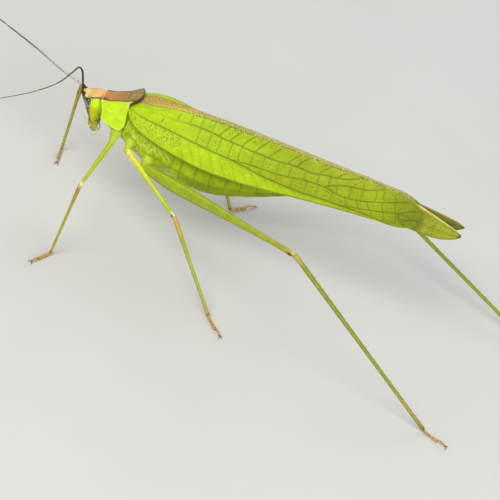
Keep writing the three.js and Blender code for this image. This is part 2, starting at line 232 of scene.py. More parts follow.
# a six-sided spine that ends in a blunt point
def spike(bm, root, direction, length, radius, masks):
    turn = direction.to_track_quat("Z", "Y").to_matrix().to_4x4()
    place = Matrix.Translation(root + direction.normalized() * length / 2) @ turn
    made = bmesh.ops.create_cone(bm, cap_ends=True, cap_tris=False, segments=6,
                                 radius1=radius, radius2=radius * 0.12, depth=length, matrix=place)
    for vert in made["verts"]:
        paint(bm, vert, masks)


def toMesh(name, bm):
    mesh = bpy.data.meshes.new(name)
    bm.to_mesh(mesh)
    bm.free()
    return mesh


def dress(name, mesh, material, nodes):
    mesh.shade_smooth()
    piece = bpy.data.objects.new(name, mesh)
    bpy.context.scene.collection.objects.link(piece)
    mesh.materials.append(material)
    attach(piece, "root")
    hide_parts(*nodes)
    return piece


def finishPiece(name, bm, material, nodes):
    bmesh.ops.recalc_face_normals(bm, faces=bm.faces)
    dress(name, toMesh(name, bm), material, nodes)


# the walls of a thin shell: offset -1 grows them inwards, 0 to both sides
def thicken(piece, thickness, offset):
    wall = piece.modifiers.new("wall", "SOLIDIFY")
    wall.thickness = thickness * mm
    wall.offset = offset


# finishes: small helpers for shader nodes, two shared node groups and the insect's skin

# a socket is linked to the target, and a plain value is set on the target's own socket
def feed(value, target):
    if hasattr(value, "links"):
        target.id_data.links.new(value, target)
    else:
        target.default_value = value


def mathNode(operation, a, b):
    tree = (a if hasattr(a, "links") else b).id_data
    node = tree.nodes.new("ShaderNodeMath")
    node.operation = operation
    feed(a, node.inputs[0])
    feed(b, node.inputs[1])
    return node.outputs[0]


times, plus, minus = (partial(mathNode, kind) for kind in ("MULTIPLY", "ADD", "SUBTRACT"))
larger, smaller, under = (partial(mathNode, kind) for kind in ("MAXIMUM", "MINIMUM", "LESS_THAN"))


def mixColor(factor, a, b):
    node = factor.id_data.nodes.new("ShaderNodeMix")
    node.data_type = "RGBA"
    feed(factor, node.inputs["Factor"])
    colorInputs = [entry for entry in node.inputs if entry.type == "RGBA"]
    for color, entry in zip((a, b), colorInputs):
        feed(color if hasattr(color, "links") else (*color, 1), entry)
    return next(entry for entry in node.outputs if entry.type == "RGBA")


def attribute(tree, name):
    node = tree.nodes.new("ShaderNodeAttribute")
    node.attribute_name = name
    return node.outputs["Fac"]


def ramp(factor, stops):
    node = factor.id_data.nodes.new("ShaderNodeValToRGB")
    node.color_ramp.interpolation = "EASE"
    elements = node.color_ramp.elements
    while len(elements) < len(stops):
        elements.new(0.5)
    for element, (at, color) in zip(elements, stops):
        element.position = at
        element.color = (*color, 1)
    feed(factor, node.inputs["Fac"])
    return node.outputs["Color"]


# 0 below low, 1 above high, with soft ends
def fade(value, low, high):
    node = value.id_data.nodes.new("ShaderNodeMapRange")
    node.interpolation_type = "SMOOTHSTEP"
    feed(value, node.inputs["Value"])
    node.inputs["From Min"].default_value = low
    node.inputs["From Max"].default_value = high
    return node.outputs["Result"]


def objectTexture(tree, kind, **settings):
    node = tree.nodes.new(kind)
    where = tree.nodes.new("ShaderNodeTexCoord")
    feed(where.outputs["Object"], node.inputs["Vector"])
    for key, value in settings.items():
        feed(value, node.inputs[key])
    return node


def newMaterial(name, **settings):
    material = bpy.data.materials.new(name)
    material.use_nodes = True
    shader = material.node_tree.nodes["Principled BSDF"]
    for key, value in settings.items():
        shader.inputs[key.replace("_", " ")].default_value = value
    return material, material.node_tree, shader


# strength and distance of the relief; the distance is in metres
def addBump(height, strength, distance, *shaders, invert=False):
    bump = height.id_data.nodes.new("ShaderNodeBump")
    bump.invert = invert
    bump.inputs["Strength"].default_value = strength
    bump.inputs["Distance"].default_value = distance
    feed(height, bump.inputs["Height"])
    for shader in shaders:
        feed(bump.outputs["Normal"], shader.inputs["Normal"])


def newGroup(name, color, numbers, outputName, outputKind):
    group = bpy.data.node_groups.new(name, "ShaderNodeTree")
    if color:
        group.interface.new_socket(name=color, in_out="INPUT", socket_type="NodeSocketColor")
    for label, value in numbers.items():
        entry = group.interface.new_socket(name=label, in_out="INPUT", socket_type="NodeSocketFloat")
        entry.default_value = value
    group.interface.new_socket(name=outputName, in_out="OUTPUT", socket_type=outputKind)
    enter = group.nodes.new("NodeGroupInput")
    leave = group.nodes.new("NodeGroupOutput")
    return group, enter.outputs, leave.inputs[outputName]


def useGroup(tree, group, **values):
    node = tree.nodes.new("ShaderNodeGroup")
    node.node_tree = group
    for key, value in values.items():
        feed(value, node.inputs[key.replace("_", " ")])
    return node.outputs[0]


# patches of lighter and darker pigment, with fine flecks
def mottleGroup():
    numbers = {"Patches": 0.15, "Flecks": 0.1, "Size": 900}
    group, given, result = newGroup("pigmentMottle", "Color", numbers, "Color", "NodeSocketColor")
    patches = objectTexture(group, "ShaderNodeTexNoise", Detail=3, Scale=given["Size"])
    flecks = objectTexture(group, "ShaderNodeTexNoise", Detail=2, Scale=times(given["Size"], 6))
    broad = times(minus(patches.outputs["Fac"], 0.5), given["Patches"])
    fine = times(minus(flecks.outputs["Fac"], 0.5), given["Flecks"])
    bright = plus(times(plus(broad, fine), 4), 1)
    tone = group.nodes.new("ShaderNodeHueSaturation")
    feed(given["Color"], tone.inputs["Color"])
    feed(bright, tone.inputs["Value"])
    feed(tone.outputs["Color"], result)
    return group


# the skin's own relief: shallow pits and a soft grain, as a height
def grainGroup():
    numbers = {"Pits": 0.5, "Pit Size": 6000, "Grain": 0.5}
    group, given, result = newGroup("cuticleGrain", None, numbers, "Height", "NodeSocketFloat")
    pits = objectTexture(group, "ShaderNodeTexVoronoi", Scale=given["Pit Size"])
    soft = objectTexture(group, "ShaderNodeTexNoise", Scale=5000, Detail=3)
    bowl = times(smaller(pits.outputs["Distance"], 0.45), given["Pits"])
    feed(plus(bowl, times(soft.outputs["Fac"], given["Grain"])), result)
    return group


mottle = mottleGroup()
grain = grainGroup()


# a waxy insect skin: colours along the piece, painted marks on top, pigment mottle and relief
def cuticle(name, stops, marks=(), patches=0.12, flecks=0.08, size=900, roughness=0.42, coat=0.07,
            pits=0.4, pitSize=7000, relief=0.25, gloss=0.3):
    material, tree, shader = newMaterial(name, Roughness=roughness, Specular_IOR_Level=gloss,
                                         Coat_Weight=coat, Coat_Roughness=0.3)
    color = ramp(attribute(tree, "along"), stops)
    for mask, tint in marks:
        color = mixColor(attribute(tree, mask), color, tint)
    color = useGroup(tree, mottle, Color=color, Patches=patches, Flecks=flecks, Size=size)
    feed(color, shader.inputs["Base Color"])
    addBump(useGroup(tree, grain, Pits=pits, Pit_Size=pitSize, Grain=0.5), relief, 0.00005, shader)
    return material


print("finishes ready")

# the head: colours, the height of chin and crown, and the outlines by height
headLook = {
    "face": (0.15, 0.17, 0.003), "gena": (0.50, 0.51, 0.008), "cheek": (0.58, 0.80, 0.006),
    "crown": (0.74, 0.45, 0.17), "cream": (0.84, 0.72, 0.24), "stripe": (0.075, 0.08, 0.06),
    "suture": (0.13, 0.13, 0.012), "chin": 9.95, "top": 13.78,
}
headFront = profile((9.95, -4.5), (10.6, -4.95), (11.5, -5.6), (12.4, -6.2), (12.95, -6.45), (13.4, -6.0),
                    (13.7, -5.2))
headBack = profile((9.95, -4), (10.6, -3.75), (11.5, -3.55), (12.5, -3.5), (13.7, -3.5))
stripeLine = profile((-5.6, 12.96), (-5.1, 13.12), (-4.4, 13.34), (-3.9, 13.46))
headHalf = profile((9.95, 0.85), (10.6, 1.2), (11.4, 1.38), (12.3, 1.4), (13, 1.24), (13.4, 1.02),
                   (13.65, 0.78), (13.8, 0.6))
eyeLook = {"radius": (0.42, 0.56), "out": 0.44, "centre": (-5.27, 1.08, 12.46), "rim": (0.46, 0.64),
           "tones": [(0.0, (0.30, 0.36, 0.30)), (0.25, (0.16, 0.25, 0.27)), (0.62, (0.10, 0.15, 0.17)),
                     (0.9, (0.02, 0.025, 0.03))], "pupil": (0.02, 0.025, 0.03)}


def signedPower(value, power):
    return math.copysign(abs(value) ** power, value)


def genaLine(z):
    return lerp(-5.1, -4.45, smooth(z, 12.2, 10.2))


# 1 on the oval line round the eye
def eyeRing(x, z):
    ex, _, ez = eyeLook["centre"]
    return math.hypot((x - ex) / eyeLook["rim"][0], (z - ez) / eyeLook["rim"][1])


# place along and height of a spot on the head, and how far the skin has closed in towards chin or crown
def headSpot(s, angle):
    z = lerp(headLook["chin"], headLook["top"], s)
    edge = math.sqrt(max(1 - abs(2 * s - 1) ** (9 if s < 0.5 else 15), 0.004))
    reach = (headBack(z) - headFront(z)) / 2
    return (headFront(z) + headBack(z)) / 2 + math.cos(angle) * reach * edge, z, edge


def headPlace(s, angle):
    x, z, edge = headSpot(s, angle)
    ahead = max(-math.cos(angle), 0)
    narrow = 1 - 0.35 * ahead ** 2 - 0.22 * max(math.cos(angle), 0) ** 2
    y = signedPower(math.sin(angle), 0.85) * headHalf(z) * narrow * edge
    # the fastigium: a narrow beak between the feelers
    y *= 1 - 0.5 * ahead ** 3 * bell(z, 13.15, 0.3)
    side = 1 if y > 0 else -1
    away = math.sqrt((abs(y) - 0.5) ** 2 + (z - 12.8) ** 2 + ((x + 6.05) * 0.6) ** 2)
    x += (0.12 * bell(away, 0, 0.25) - 0.07 * bell(away, 0.38, 0.1)) * ahead
    # cheek and gena swell apart, with a furrow ahead of the gena and one under the eye
    flank = smooth(abs(y), 0.55, 0.95)
    behind = x - genaLine(z)
    y -= side * flank * 0.10 * bell(behind, 0, 0.1) * smooth(z, 12.25, 11.8)
    y += (side * flank * 0.09 * bell(behind, 0.55, 0.4) * smooth(z, 10.2, 11.0)
          * (1 - smooth(z, 11.8, 12.3)))
    y += side * flank * 0.07 * bell(x, -4.45, 0.4) * bell(z, 12.6, 0.35)
    y -= side * flank * 0.06 * bell(z, 12.14 + 0.25 * (x + 4.4), 0.07) * smooth(x, -5.0, -4.7)
    y -= side * flank * 0.07 * bell(eyeRing(x, z), 1.0, 0.14)
    # two shallow grooves run back over the crown, and a low step follows the dark stripe
    z -= 0.05 * bell(abs(y), 0.5, 0.1) * smooth(z, 13.2, 13.5) * smooth(x, -5.6, -5.2)
    y += side * 0.03 * bell(z - stripeLine(x), 0.14, 0.06) * smooth(x, -5.5, -5.2)
    # the rear of the crown slips in under the pronotum
    z -= 0.24 * smooth(x, -4.4, -3.95) * smooth(z, 13.0, 13.5)
    return stand(x, y, z)


def headMasks(s, angle):
    x, z, edge = headSpot(s, angle)
    y = abs(math.sin(angle)) ** 0.85 * headHalf(z) * edge
    behind = x - genaLine(z)
    tone = lerp(0.0, 0.5, smooth(behind, -0.05, 0.08))
    tone = lerp(tone, 1.0, smooth(z, 12.05, 12.25) * smooth(x, -5.2, -4.9))
    above = z - stripeLine(x)
    crown = smooth(above, 0.0, 0.06) * smooth(x, -5.95, -5.2)
    stripe = bell(above, 0.02, 0.085) * smooth(x, -5.3, -5.12) * smooth(y, 0.25, 0.6)
    beak = smooth(z, 12.82, 12.98) * (1 - smooth(x, -5.5, -5.1))
    line = 0.75 * bell(behind, 0, 0.05) * smooth(z, 12.2, 11.8)
    line += 0.5 * bell(eyeRing(x, z), 1.02, 0.1) * smooth(y, 0.4, 0.7)
    line += 0.5 * bell(x, headBack(z) - 0.12, 0.06) * (1 - smooth(z, 11.6, 12.1)) * smooth(y, 0.2, 0.6)
    return {"along": tone, "markA": crown, "markB": min(stripe * 1.25, 1), "markC": min(line, 0.85),
            "markD": beak}


bm = newMesh()
loft(bm, 90, 96, headPlace, headMasks, ease=lambda t: lerp(t, roundEnds(t), 0.7))
headSkin = cuticle("headSkin", [(0, headLook["face"]), (0.5, headLook["gena"]), (1, headLook["cheek"])],
                   marks=(("markD", headLook["cream"]), ("markA", headLook["crown"]),
                          ("markC", headLook["suture"]), ("markB", headLook["stripe"])),
                   patches=0.14, flecks=0.12, size=1500, pits=0.3, gloss=0.2, coat=0.04)
finishPiece("headCapsule", bm, headSkin, ["head"])

feelerLook = {
    "scape": [(0, (0.03, 0.024, 0.014)), (1, (0.02, 0.018, 0.012))], "ring": (0.03, 0.025, 0.015),
    "rings": 240, "pale": (0.27, 0.36, 0.47, 0.58, 0.7, 0.82),
    "left": {"finish": "feelerNear", "knot": (0.50, 0.46, 0.30), "root": (-6.0, -0.46, 12.85),
             "tones": [(0, (0.03, 0.024, 0.014)), (0.06, (0.055, 0.05, 0.02)), (0.2, (0.10, 0.10, 0.045)),
                       (1, (0.12, 0.10, 0.05))],
             "route": [(-6.25, -0.85, 13.3), (-6.55, -0.72, 14.3), (-6.95, -0.8, 15.8), (-7.35, -1.5, 16.7),
                       (-7.6, -3.3, 17.15), (-8.3, -6.6, 17.6), (-10.2, -11, 18.4), (-13.5, -16.5, 19.5),
                       (-17.5, -22.5, 20.2), (-22, -28.5, 20)]},
    "right": {"finish": "feelerFar", "knot": (0.60, 0.56, 0.42), "root": (-6.0, 0.46, 12.85),
              "tones": [(0, (0.50, 0.50, 0.46)), (0.1, (0.34, 0.34, 0.31)), (0.22, (0.09, 0.075, 0.05)),
                        (1, (0.06, 0.042, 0.02))],
              "route": [(-6.65, 0.62, 13.1), (-9.3, 0.8, 13.7), (-12.9, 1.2, 14.9), (-16.7, 1.4, 16.1),
                        (-22, 1.9, 17.5), (-29, 3.2, 18.5), (-36, 5.4, 18.4), (-43, 8.6, 16.8)]},
}


def eyeMaterial():
    material, tree, shader = newMaterial("compoundEye", Roughness=0.16, Coat_Weight=0.8, Coat_Roughness=0.05)
    tone = ramp(attribute(tree, "along"), eyeLook["tones"])
    tone = mixColor(attribute(tree, "markA"), tone, eyeLook["pupil"])
    tone = useGroup(tree, mottle, Color=tone, Patches=0.25, Flecks=0.25, Size=2400)
    feed(tone, shader.inputs["Base Color"])
    facets = objectTexture(tree, "ShaderNodeTexVoronoi", Scale=24000)
    addBump(facets.outputs["Distance"], 0.25, 0.00002, shader, invert=True)
    return material


eyeFinish = eyeMaterial()
scapeFinish = cuticle("feelerScape", feelerLook["scape"], marks=(("markA", headLook["cream"]),),
                      roughness=0.3, patches=0.2)
for side, sign in (("left", -1), ("right", 1)):
    ex, ey, ez = eyeLook["centre"]

    def eyePlace(s, angle):
        polar = lerp(0.012, 0.988, s) * math.pi
        fore, rise = math.cos(angle) * math.sin(polar), math.sin(angle) * math.sin(polar)
        return stand(ex + fore * eyeLook["radius"][0], sign * (ey + math.cos(polar) * eyeLook["out"]),
                     ez + rise * eyeLook["radius"][1] - 0.05 * math.cos(angle) * math.sin(polar))

    def eyeMasks(s, angle):
        rise = math.sin(angle) * math.sin(s * math.pi)
        fore = -math.cos(angle) * math.sin(s * math.pi)
        away = math.hypot(rise - 0.25, fore + 0.15)
        return {"along": smooth(rise, -1.0, 1.0), "markA": 0.8 * bell(away, 0, 0.28)}
    bm = newMesh()
    loft(bm, 36, 44, eyePlace, eyeMasks)
    finishPiece(f"eye_{side}_globe", bm, eyeFinish, [f"eye_{side}"])

    # scape and pedicel
    look = feelerLook[side]
    start = stand(*look["root"])
    axis = ground(*look["route"][0]) - start
    bm = newMesh()
    limb(bm, lambda s: start + axis * lerp(-0.12, 0.66, s), Vector((0, 1, 0.2)),
         lambda s: lerp(0.3, 0.24, s) * lobed(s, 0.55, 2.6), rings=20, segments=24,
         masks=lambda s, a: {"along": s, "markA": 0.7 * bell(s, 0.04, 0.08)})
    limb(bm, lambda s: start + axis * lerp(0.6, 1.12, s), Vector((0, 1, 0.2)),
         lambda s: 0.19 * lobed(s, 0.7, 2.5), rings=14, segments=20)
    finishPiece(f"feelerScape_{side}", bm, scapeFinish, [f"antenna_base_{side}"])

    # the long flagellum, ringed, with a pale node here and there
    rings = feelerLook["rings"]

    def flagellumWidth(s):
        ringed = 1 - 0.07 * (math.cos(s * rings * math.pi / 2) > 0.7)
        return lerp(0.125, 0.042, smooth(s, 0, 0.5) ** 0.7) * ringed

    def flagellumMasks(s, angle):
        pale = max(bell(s, at, 0.004) for at in feelerLook["pale"])
        return {"markA": pale * 0.8, "markB": 0.25 * (math.cos(s * rings / 2 * math.pi) > 0.6)}
    bm = newMesh()
    limb(bm, route([ground(*spot) for spot in look["route"]]), Vector((0.2, 0.1, 1)), flagellumWidth,
         rings=rings, segments=10, masks=flagellumMasks)
    feelerFinish = cuticle(look["finish"], look["tones"], roughness=0.4, patches=0.2,
                           marks=(("markA", look["knot"]), ("markB", feelerLook["ring"])))
    finishPiece(f"feeler_{side}", bm, feelerFinish, [f"antenna_{side}"])
print("head, eyes and feelers done")

# mouthparts: clypeus over labrum, jaws beside them, two pairs of jointed palps
mouthLook = {
    "clypeus": (0.36, 0.37, 0.03), "labrum": (0.48, 0.44, 0.07), "jaw": (0.38, 0.38, 0.035),
    "jawTip": (0.10, 0.05, 0.02), "palp": (0.52, 0.54, 0.10), "palpTip": (0.62, 0.60, 0.18),
    "palpJoint": (0.26, 0.24, 0.03),
    # girth of the joints, and where each joint ends
    "palps": {"maxillary_palp": (0.07, [(-4.3, 0.98, 10.05), (-4.35, 1.15, 9.75), (-4.72, 1.18, 10.05),
                                        (-5.0, 1.1, 10.45), (-5.32, 1.0, 10.9)]),
              "labial_palp": (0.075, [(-3.6, 0.5, 9.8), (-3.42, 0.62, 9.3), (-3.55, 0.66, 8.85),
                                      (-3.98, 0.6, 8.62)])},
}
clypeusFinish = cuticle("clypeusSkin", [(0, mouthLook["clypeus"]), (1, mouthLook["labrum"])],
                        marks=(("markA", headLook["suture"]),), roughness=0.38)
jawFinish = cuticle("jawSkin", [(0, mouthLook["jaw"]), (0.7, mouthLook["jaw"]), (1, mouthLook["jawTip"])],
                    marks=(("markA", headLook["suture"]),), roughness=0.3)
palpFinish = cuticle("palpSkin", [(0, mouthLook["palp"]), (1, mouthLook["palpTip"])],
                     marks=(("markA", mouthLook["palpJoint"]),), roughness=0.35)
bm = newMesh()
lip = route([stand(-4.6, 0, 10.2), stand(-4.42, 0, 9.65), stand(-4.14, 0, 9.1)])
limb(bm, lip, stand(-1, 0, 0.2) - stand(0, 0, 0),
     lambda s: lerp(0.62, 0.42, s) * (1 - smooth(s, 0.88, 1) * 0.35),
     lambda s: lerp(0.28, 0.18, s) * (1 - smooth(s, 0.9, 1) * 0.4), rings=36, segments=32,
     bulge=lambda s, a: 1 - 0.12 * bell(s, 0.42, 0.04),
     masks=lambda s, a: {"markA": 0.8 * bell(s, 0.42, 0.03)})
finishPiece("clypeusAndLabrum", bm, clypeusFinish, ["clypeus_labrum"])
for side, sign in (("left", -1), ("right", 1)):
    bm = newMesh()
    jaw = route([stand(-4.1, sign * 0.82, 10.45), stand(-3.98, sign * 0.78, 9.8),
                 stand(-3.95, sign * 0.42, 9.2)])
    limb(bm, jaw, stand(0, 1, 0) - stand(0, 0, 0), lambda s: lerp(0.46, 0.16, s ** 1.5),
         lambda s: lerp(0.24, 0.12, s), rings=28, segments=24,
         bulge=lambda s, a: 1 + 0.1 * bell(a, math.pi, 0.5),
         masks=lambda s, a: {"markA": 0.6 * bell(s, 0.12, 0.05) + 0.4 * bell(a, 0.4, 0.25)})
    finishPiece(f"jaw_{side}", bm, jawFinish, [f"mandible_{side}"])
    for palpName, (girth, joints) in mouthLook["palps"].items():
        bm = newMesh()
        spots = [stand(x, sign * y, z) for x, y, z in joints]
        for start, end in zip(spots, spots[1:]):
            club = 1.4 if end == spots[-1] else 1.0
            limb(bm, lambda s: start.lerp(end, lerp(-0.08, 1.05, s)), Vector((0, 1, 0.1)),
                 lambda s: girth * (0.85 + 0.35 * s * club) * lobed(s, 0.45, 2.75, 0.45), rings=16,
                 segments=14, masks=lambda s, a: {"along": s, "markA": 0.7 * bell(s, 0.0, 0.08)})
        finishPiece(f"{palpName}_{side}_jointed", bm, palpFinish, [f"{palpName}_{side}"])
print("mouthparts done")

# the pronotum: a saddle of a brown disc above and a green lobe down each side, parted at the split
pronotumLook = {
    "lobe": (0.52, 0.76, 0.006), "discFront": (0.60, 0.23, 0.04), "discMiddle": (0.40, 0.21, 0.05),
    "discRear": (0.31, 0.23, 0.035), "discEnd": (0.30, 0.20, 0.04), "rim": (0.085, 0.045, 0.018),
    "pale": (0.86, 0.60, 0.30), "curl": (0.68, 0.90, 0.10), "corner": (0.09, 0.07, 0.05),
    "front": -4.05, "rear": -0.02, "split": 0.42, "thick": 0.2, "rounding": 0.012,
    # raised folds on the side lobe: place along the body, height
    "folds": [[(-3.05, 12.9), (-2.9, 12.65), (-2.55, 12.7)], [(-2.23, 13.3), (-2.12, 13.0), (-1.9, 12.88)],
              [(-1.98, 13.4), (-1.84, 13.15)], [(-2.05, 12.65), (-1.73, 12.5), (-1.42, 12.3)],
              [(-2.4, 11.8), (-2.3, 12.15), (-2.0, 12.4)]],
}
foldAway = strokeReader(pronotumLook["folds"])
discTop = profile((-4.05, 13.44), (-3.2, 13.68), (-2.4, 14.02), (-1.4, 14.5), (-0.7, 14.92), (0, 15.2))
discHalf = profile((-4.05, 1.36), (-3.2, 1.38), (-2.4, 1.36), (-1.5, 1.5), (-0.8, 1.72), (-0.15, 1.78))
lobeHalf = profile((-4.05, 1.36), (-3, 1.62), (-2, 1.74), (-1, 1.84), (-0.15, 1.8))
lobeFoot = profile((-4.05, 12.15), (-3.88, 11.8), (-3.55, 11.5), (-2.9, 11.24), (-2.2, 11.06),
                   (-1.5, 10.95), (-1.1, 11.04), (-0.85, 11.5), (-0.6, 12.3))


# a spot of the saddle: u runs from front to rear, v from one lower edge over the back to the other
def saddle(u, v):
    w = abs(2 * v - 1)
    side = 1 if v > 0.5 else -1
    split = pronotumLook["split"]
    down = max((w - split) / (1 - split), 0)
    rearBow = (-0.46 * min(w / split, 1) ** 2.6 - 0.46 * smooth(down, -0.01, 0.05)
               + 0.2 * smooth(down, 0.2, 0.9))
    frontBow = 0.12 * smooth(w, 0.3, 1) + 0.45 * smooth(down, 0.0, 0.8)
    x = lerp(pronotumLook["front"] + frontBow, pronotumLook["rear"] + rearBow, u)
    if w < split:
        p = w / split
        lift = lerp(0.26, 0.08, smooth(x, -3.9, -2.4)) * (1 - p * p)
        lift -= 0.085 * bell(x + 0.12 * p * p, -1.42, 0.1)
        lift -= 0.05 * bell(x, -3.05, 0.09) * (1 - 0.5 * p)
        lift += 0.05 * bell(p, 0.97, 0.07) + 0.06 * bell(u, 1.0, 0.025) - 0.035 * bell(p, 0, 0.05)
        lift += 0.05 * smooth(x, -1.3, -0.9)
        return x, side * discHalf(x) * p, discTop(x) + lift
    q = (w - split) / (1 - split)
    y = lerp(discHalf(x), lobeHalf(x), math.sin(q * math.pi / 2) ** 0.8)
    z = lerp(discTop(x) + 0.05, lobeFoot(x), q)
    fold = bell(foldAway(x, z), 0, 0.1)
    y += (0.07 * fold - 0.04 * bell(x, -3.45, 0.1) * bell(q, 0.5, 0.4) + 0.05 * bell(q, 0.985, 0.02)
          + 0.04 * bell(u, 0.985, 0.02))
    return x, side * y, z


def saddlePoint(u, v):
    # the corner between disc and lobe is rounded by averaging a little way round
    reach = pronotumLook["rounding"]
    around = [saddle(u, min(max(v + step, 0), 1)) for step in (-reach, 0.0, reach)]
    return stand(*(sum(spot[k] for spot in around) / 3 for k in range(3)))


def saddleMasks(u, v):
    w = abs(2 * v - 1)
    x, _, z = saddle(u, v)
    split = pronotumLook["split"]
    lobe = smooth(w, split - 0.03, split + 0.015)
    rim = bell(u, 1.0, 0.02) * (1 - smooth(w, split + 0.04, split + 0.12))
    edge = (bell(w, split - 0.012, 0.014) + 0.5 * bell(w, split - 0.04, 0.045)) * smooth(x, -3.9, -3.4)
    corner = bell(w, split - 0.07, 0.1) * bell(x, -3.68, 0.3)
    down = max((w - split) / (1 - split), 0)
    curl = 0.42 * bell(foldAway(x, z), 0, 0.1) + 0.75 * bell(u, 0.03, 0.02)
    curl += 0.75 * bell(down, 0.955, 0.025)
    pale = 0.75 * bell(u, 0.0, 0.02) * (1 - lobe)
    pale += 0.9 * bell(u, 0.98, 0.07) * bell(down, 0.1, 0.1) * lobe
    pale += 0.4 * bell(w, 0, 0.02) * smooth(x, -1.3, -1)
    dark = max(0.8 * edge, rim, 0.5 * bell(x + 0.12 * (w / split) ** 2, -1.42, 0.06) * (1 - lobe))
    return {"along": u, "around": w, "markA": lobe, "markB": min(dark, 1), "markC": min(pale, 1),
            "markD": 0.75 * min(curl, 1) * lobe, "markE": min(1.1 * corner, 1) * (1 - lobe)}


bm = newMesh()
made = bmesh.ops.create_grid(bm, x_segments=120, y_segments=170, size=0.5)
for vert in made["verts"]:
    u, v = vert.co.x + 0.5, vert.co.y + 0.5
    paint(bm, vert, saddleMasks(u, v))
    vert.co = saddlePoint(u, v)
bmesh.ops.recalc_face_normals(bm, faces=bm.faces)
if sum(f.normal.dot(f.calc_center_median() - stand(-2, 0, 12.5)) for f in bm.faces) < 0:
    bmesh.ops.reverse_faces(bm, faces=bm.faces)
pronotumFinish = cuticle(
    "pronotumShell", [(0, pronotumLook["discFront"]), (0.5, pronotumLook["discMiddle"]),
                      (0.75, pronotumLook["discRear"]), (1, pronotumLook["discEnd"])],
    marks=(("markA", pronotumLook["lobe"]), ("markD", pronotumLook["curl"]), ("markC", pronotumLook["pale"]),
           ("markB", pronotumLook["rim"]), ("markE", pronotumLook["corner"])),
    patches=0.11, flecks=0.09, size=1500, pits=0.5, pitSize=5200, relief=0.4)
shield = dress("pronotumShield", toMesh("pronotumShield", bm), pronotumFinish, ["pronotum"])
thicken(shield, pronotumLook["thick"], -1)
print("pronotum done")

# the thorax: one skin whose sides are raised into plates with pale ridges between them, with painted shade
# in the furrows round the plates and a few painted glints
thoraxLook = {
    # deep: painted shade for the furrows just outside the side plates
    "plate": (0.38, 0.49, 0.006), "ridge": (0.66, 0.80, 0.12), "deep": (0.20, 0.27, 0.006),
    "belly": (0.42, 0.50, 0.03), "glint": (0.78, 0.84, 0.30), "start": -4.3, "end": 5.9,
    "glints": ((0.67, 10.85), (2.58, 8.85), (2.96, 8.95), (3.65, 10.1), (0.1, 9.85)),
    # side plates: middle along the body, middle height, half length, half height, lean
    "plates": [(-0.55, 11.9, 0.36, 0.9, -0.2), (0.5, 10.98, 0.36, 0.42, -0.3), (-0.1, 10.2, 0.34, 0.5, 0.1),
               (1.38, 11.2, 0.3, 0.85, 0.12), (0.62, 9.85, 0.42, 0.42, 0.3), (2.05, 9.9, 0.42, 0.78, 0.22),
               (3.05, 10.15, 0.42, 0.9, 0.28), (4.0, 10.55, 0.36, 0.95, 0.36), (2.1, 11.5, 0.32, 0.6, 0.3),
               (3.0, 11.7, 0.3, 0.5, 0.3), (4.85, 9.4, 0.62, 0.4, -0.35), (3.2, 8.95, 0.36, 0.26, 0.0),
               (1.75, 8.95, 0.5, 0.3, -0.4)],
    # pale raised outlines between and round them, place along the body and height
    "seams": [[(-0.4, 12.4), (-0.55, 11.7), (-0.6, 10.7), (-0.35, 9.95), (-0.1, 9.5)],
              [(-0.16, 11.85), (0.0, 11.4), (0.3, 11.35), (0.36, 11.75)],
              [(0.42, 10.9), (0.58, 11.1), (0.85, 10.98), (0.86, 10.7)],
              [(-0.2, 10.25), (0.15, 10.1), (0.44, 10.45), (0.82, 10.35)],
              [(-0.1, 9.95), (0.2, 9.82), (0.5, 9.95)],
              [(1.0, 11.5), (1.05, 10.75), (1.5, 10.4), (1.85, 10.8), (1.7, 11.5)],
              [(1.45, 10.3), (2.2, 10.65), (2.65, 11.15), (3.2, 11.4)],
              [(1.55, 10.3), (1.95, 9.5), (2.4, 9.25), (2.58, 9.7), (2.3, 10.4)],
              [(2.65, 9.85), (2.5, 10.55), (2.75, 10.95), (3.15, 10.85), (3.4, 10.1)],
              [(2.88, 9.9), (2.82, 10.4), (3.05, 10.6)],
              [(3.45, 11.2), (3.65, 10.7), (4.05, 10.3), (4.5, 9.8)],
              [(1.4, 9.75), (2.2, 9.06), (2.8, 8.95), (3.4, 8.85), (4.4, 9.05)],
              [(4.2, 10.9), (4.6, 10.4), (5.2, 9.7)], [(-2.4, 11.2), (-1.9, 10.6), (-1.2, 10.5)]],
}
seamAway = strokeReader(thoraxLook["seams"])
thoraxTop = profile((-4.3, 13.05), (-3.2, 13.22), (-2, 13.38), (-0.4, 14), (1.5, 13.9), (3.5, 13),
                    (5.6, 12.2))
thoraxFoot = profile((-4.3, 11.6), (-3.4, 11.0), (-2.6, 10.35), (-1.2, 9.75), (0.5, 8.95), (2.5, 8.1),
                     (4, 7.8), (5.6, 7.78))
thoraxHalf = profile((-4.3, 1.05), (-2.2, 1.15), (-0.8, 1.3), (0.4, 1.6), (2.5, 1.78), (4.4, 1.64),
                     (5.2, 1.42), (5.6, 1.22))


# 0 in the middle of the nearest side plate, 1 on its rounded outline
def plateRing(x, z):
    rings = []
    power = 2.4
    for px, pz, long, tall, lean in thoraxLook["plates"]:
        a, b = x - px - lean * (z - pz), z - pz
        rings.append((abs(a / long) ** power + abs(b / tall) ** power) ** (1 / power))
    return min(rings)


def thoraxSpot(s, angle):
    x = lerp(thoraxLook["start"], thoraxLook["end"], s)
    middle = (thoraxTop(x) + thoraxFoot(x)) / 2
    rise = (thoraxTop(x) - thoraxFoot(x)) / 2
    return x, middle + signedPower(math.sin(angle), 0.9) * rise


def thoraxPlace(s, angle):
    x, z = thoraxSpot(s, angle)
    flank = smooth(abs(math.cos(angle)), 0.25, 0.6)
    lift = flank * (0.10 * max(1 - plateRing(x, z) ** 2, -0.3) + 0.085 * bell(seamAway(x, z), 0, 0.1))
    half = thoraxHalf(x) * abs(signedPower(math.cos(angle), 0.85))
    return stand(x, (half + lift) * (1 if math.cos(angle) > 0 else -1), z)


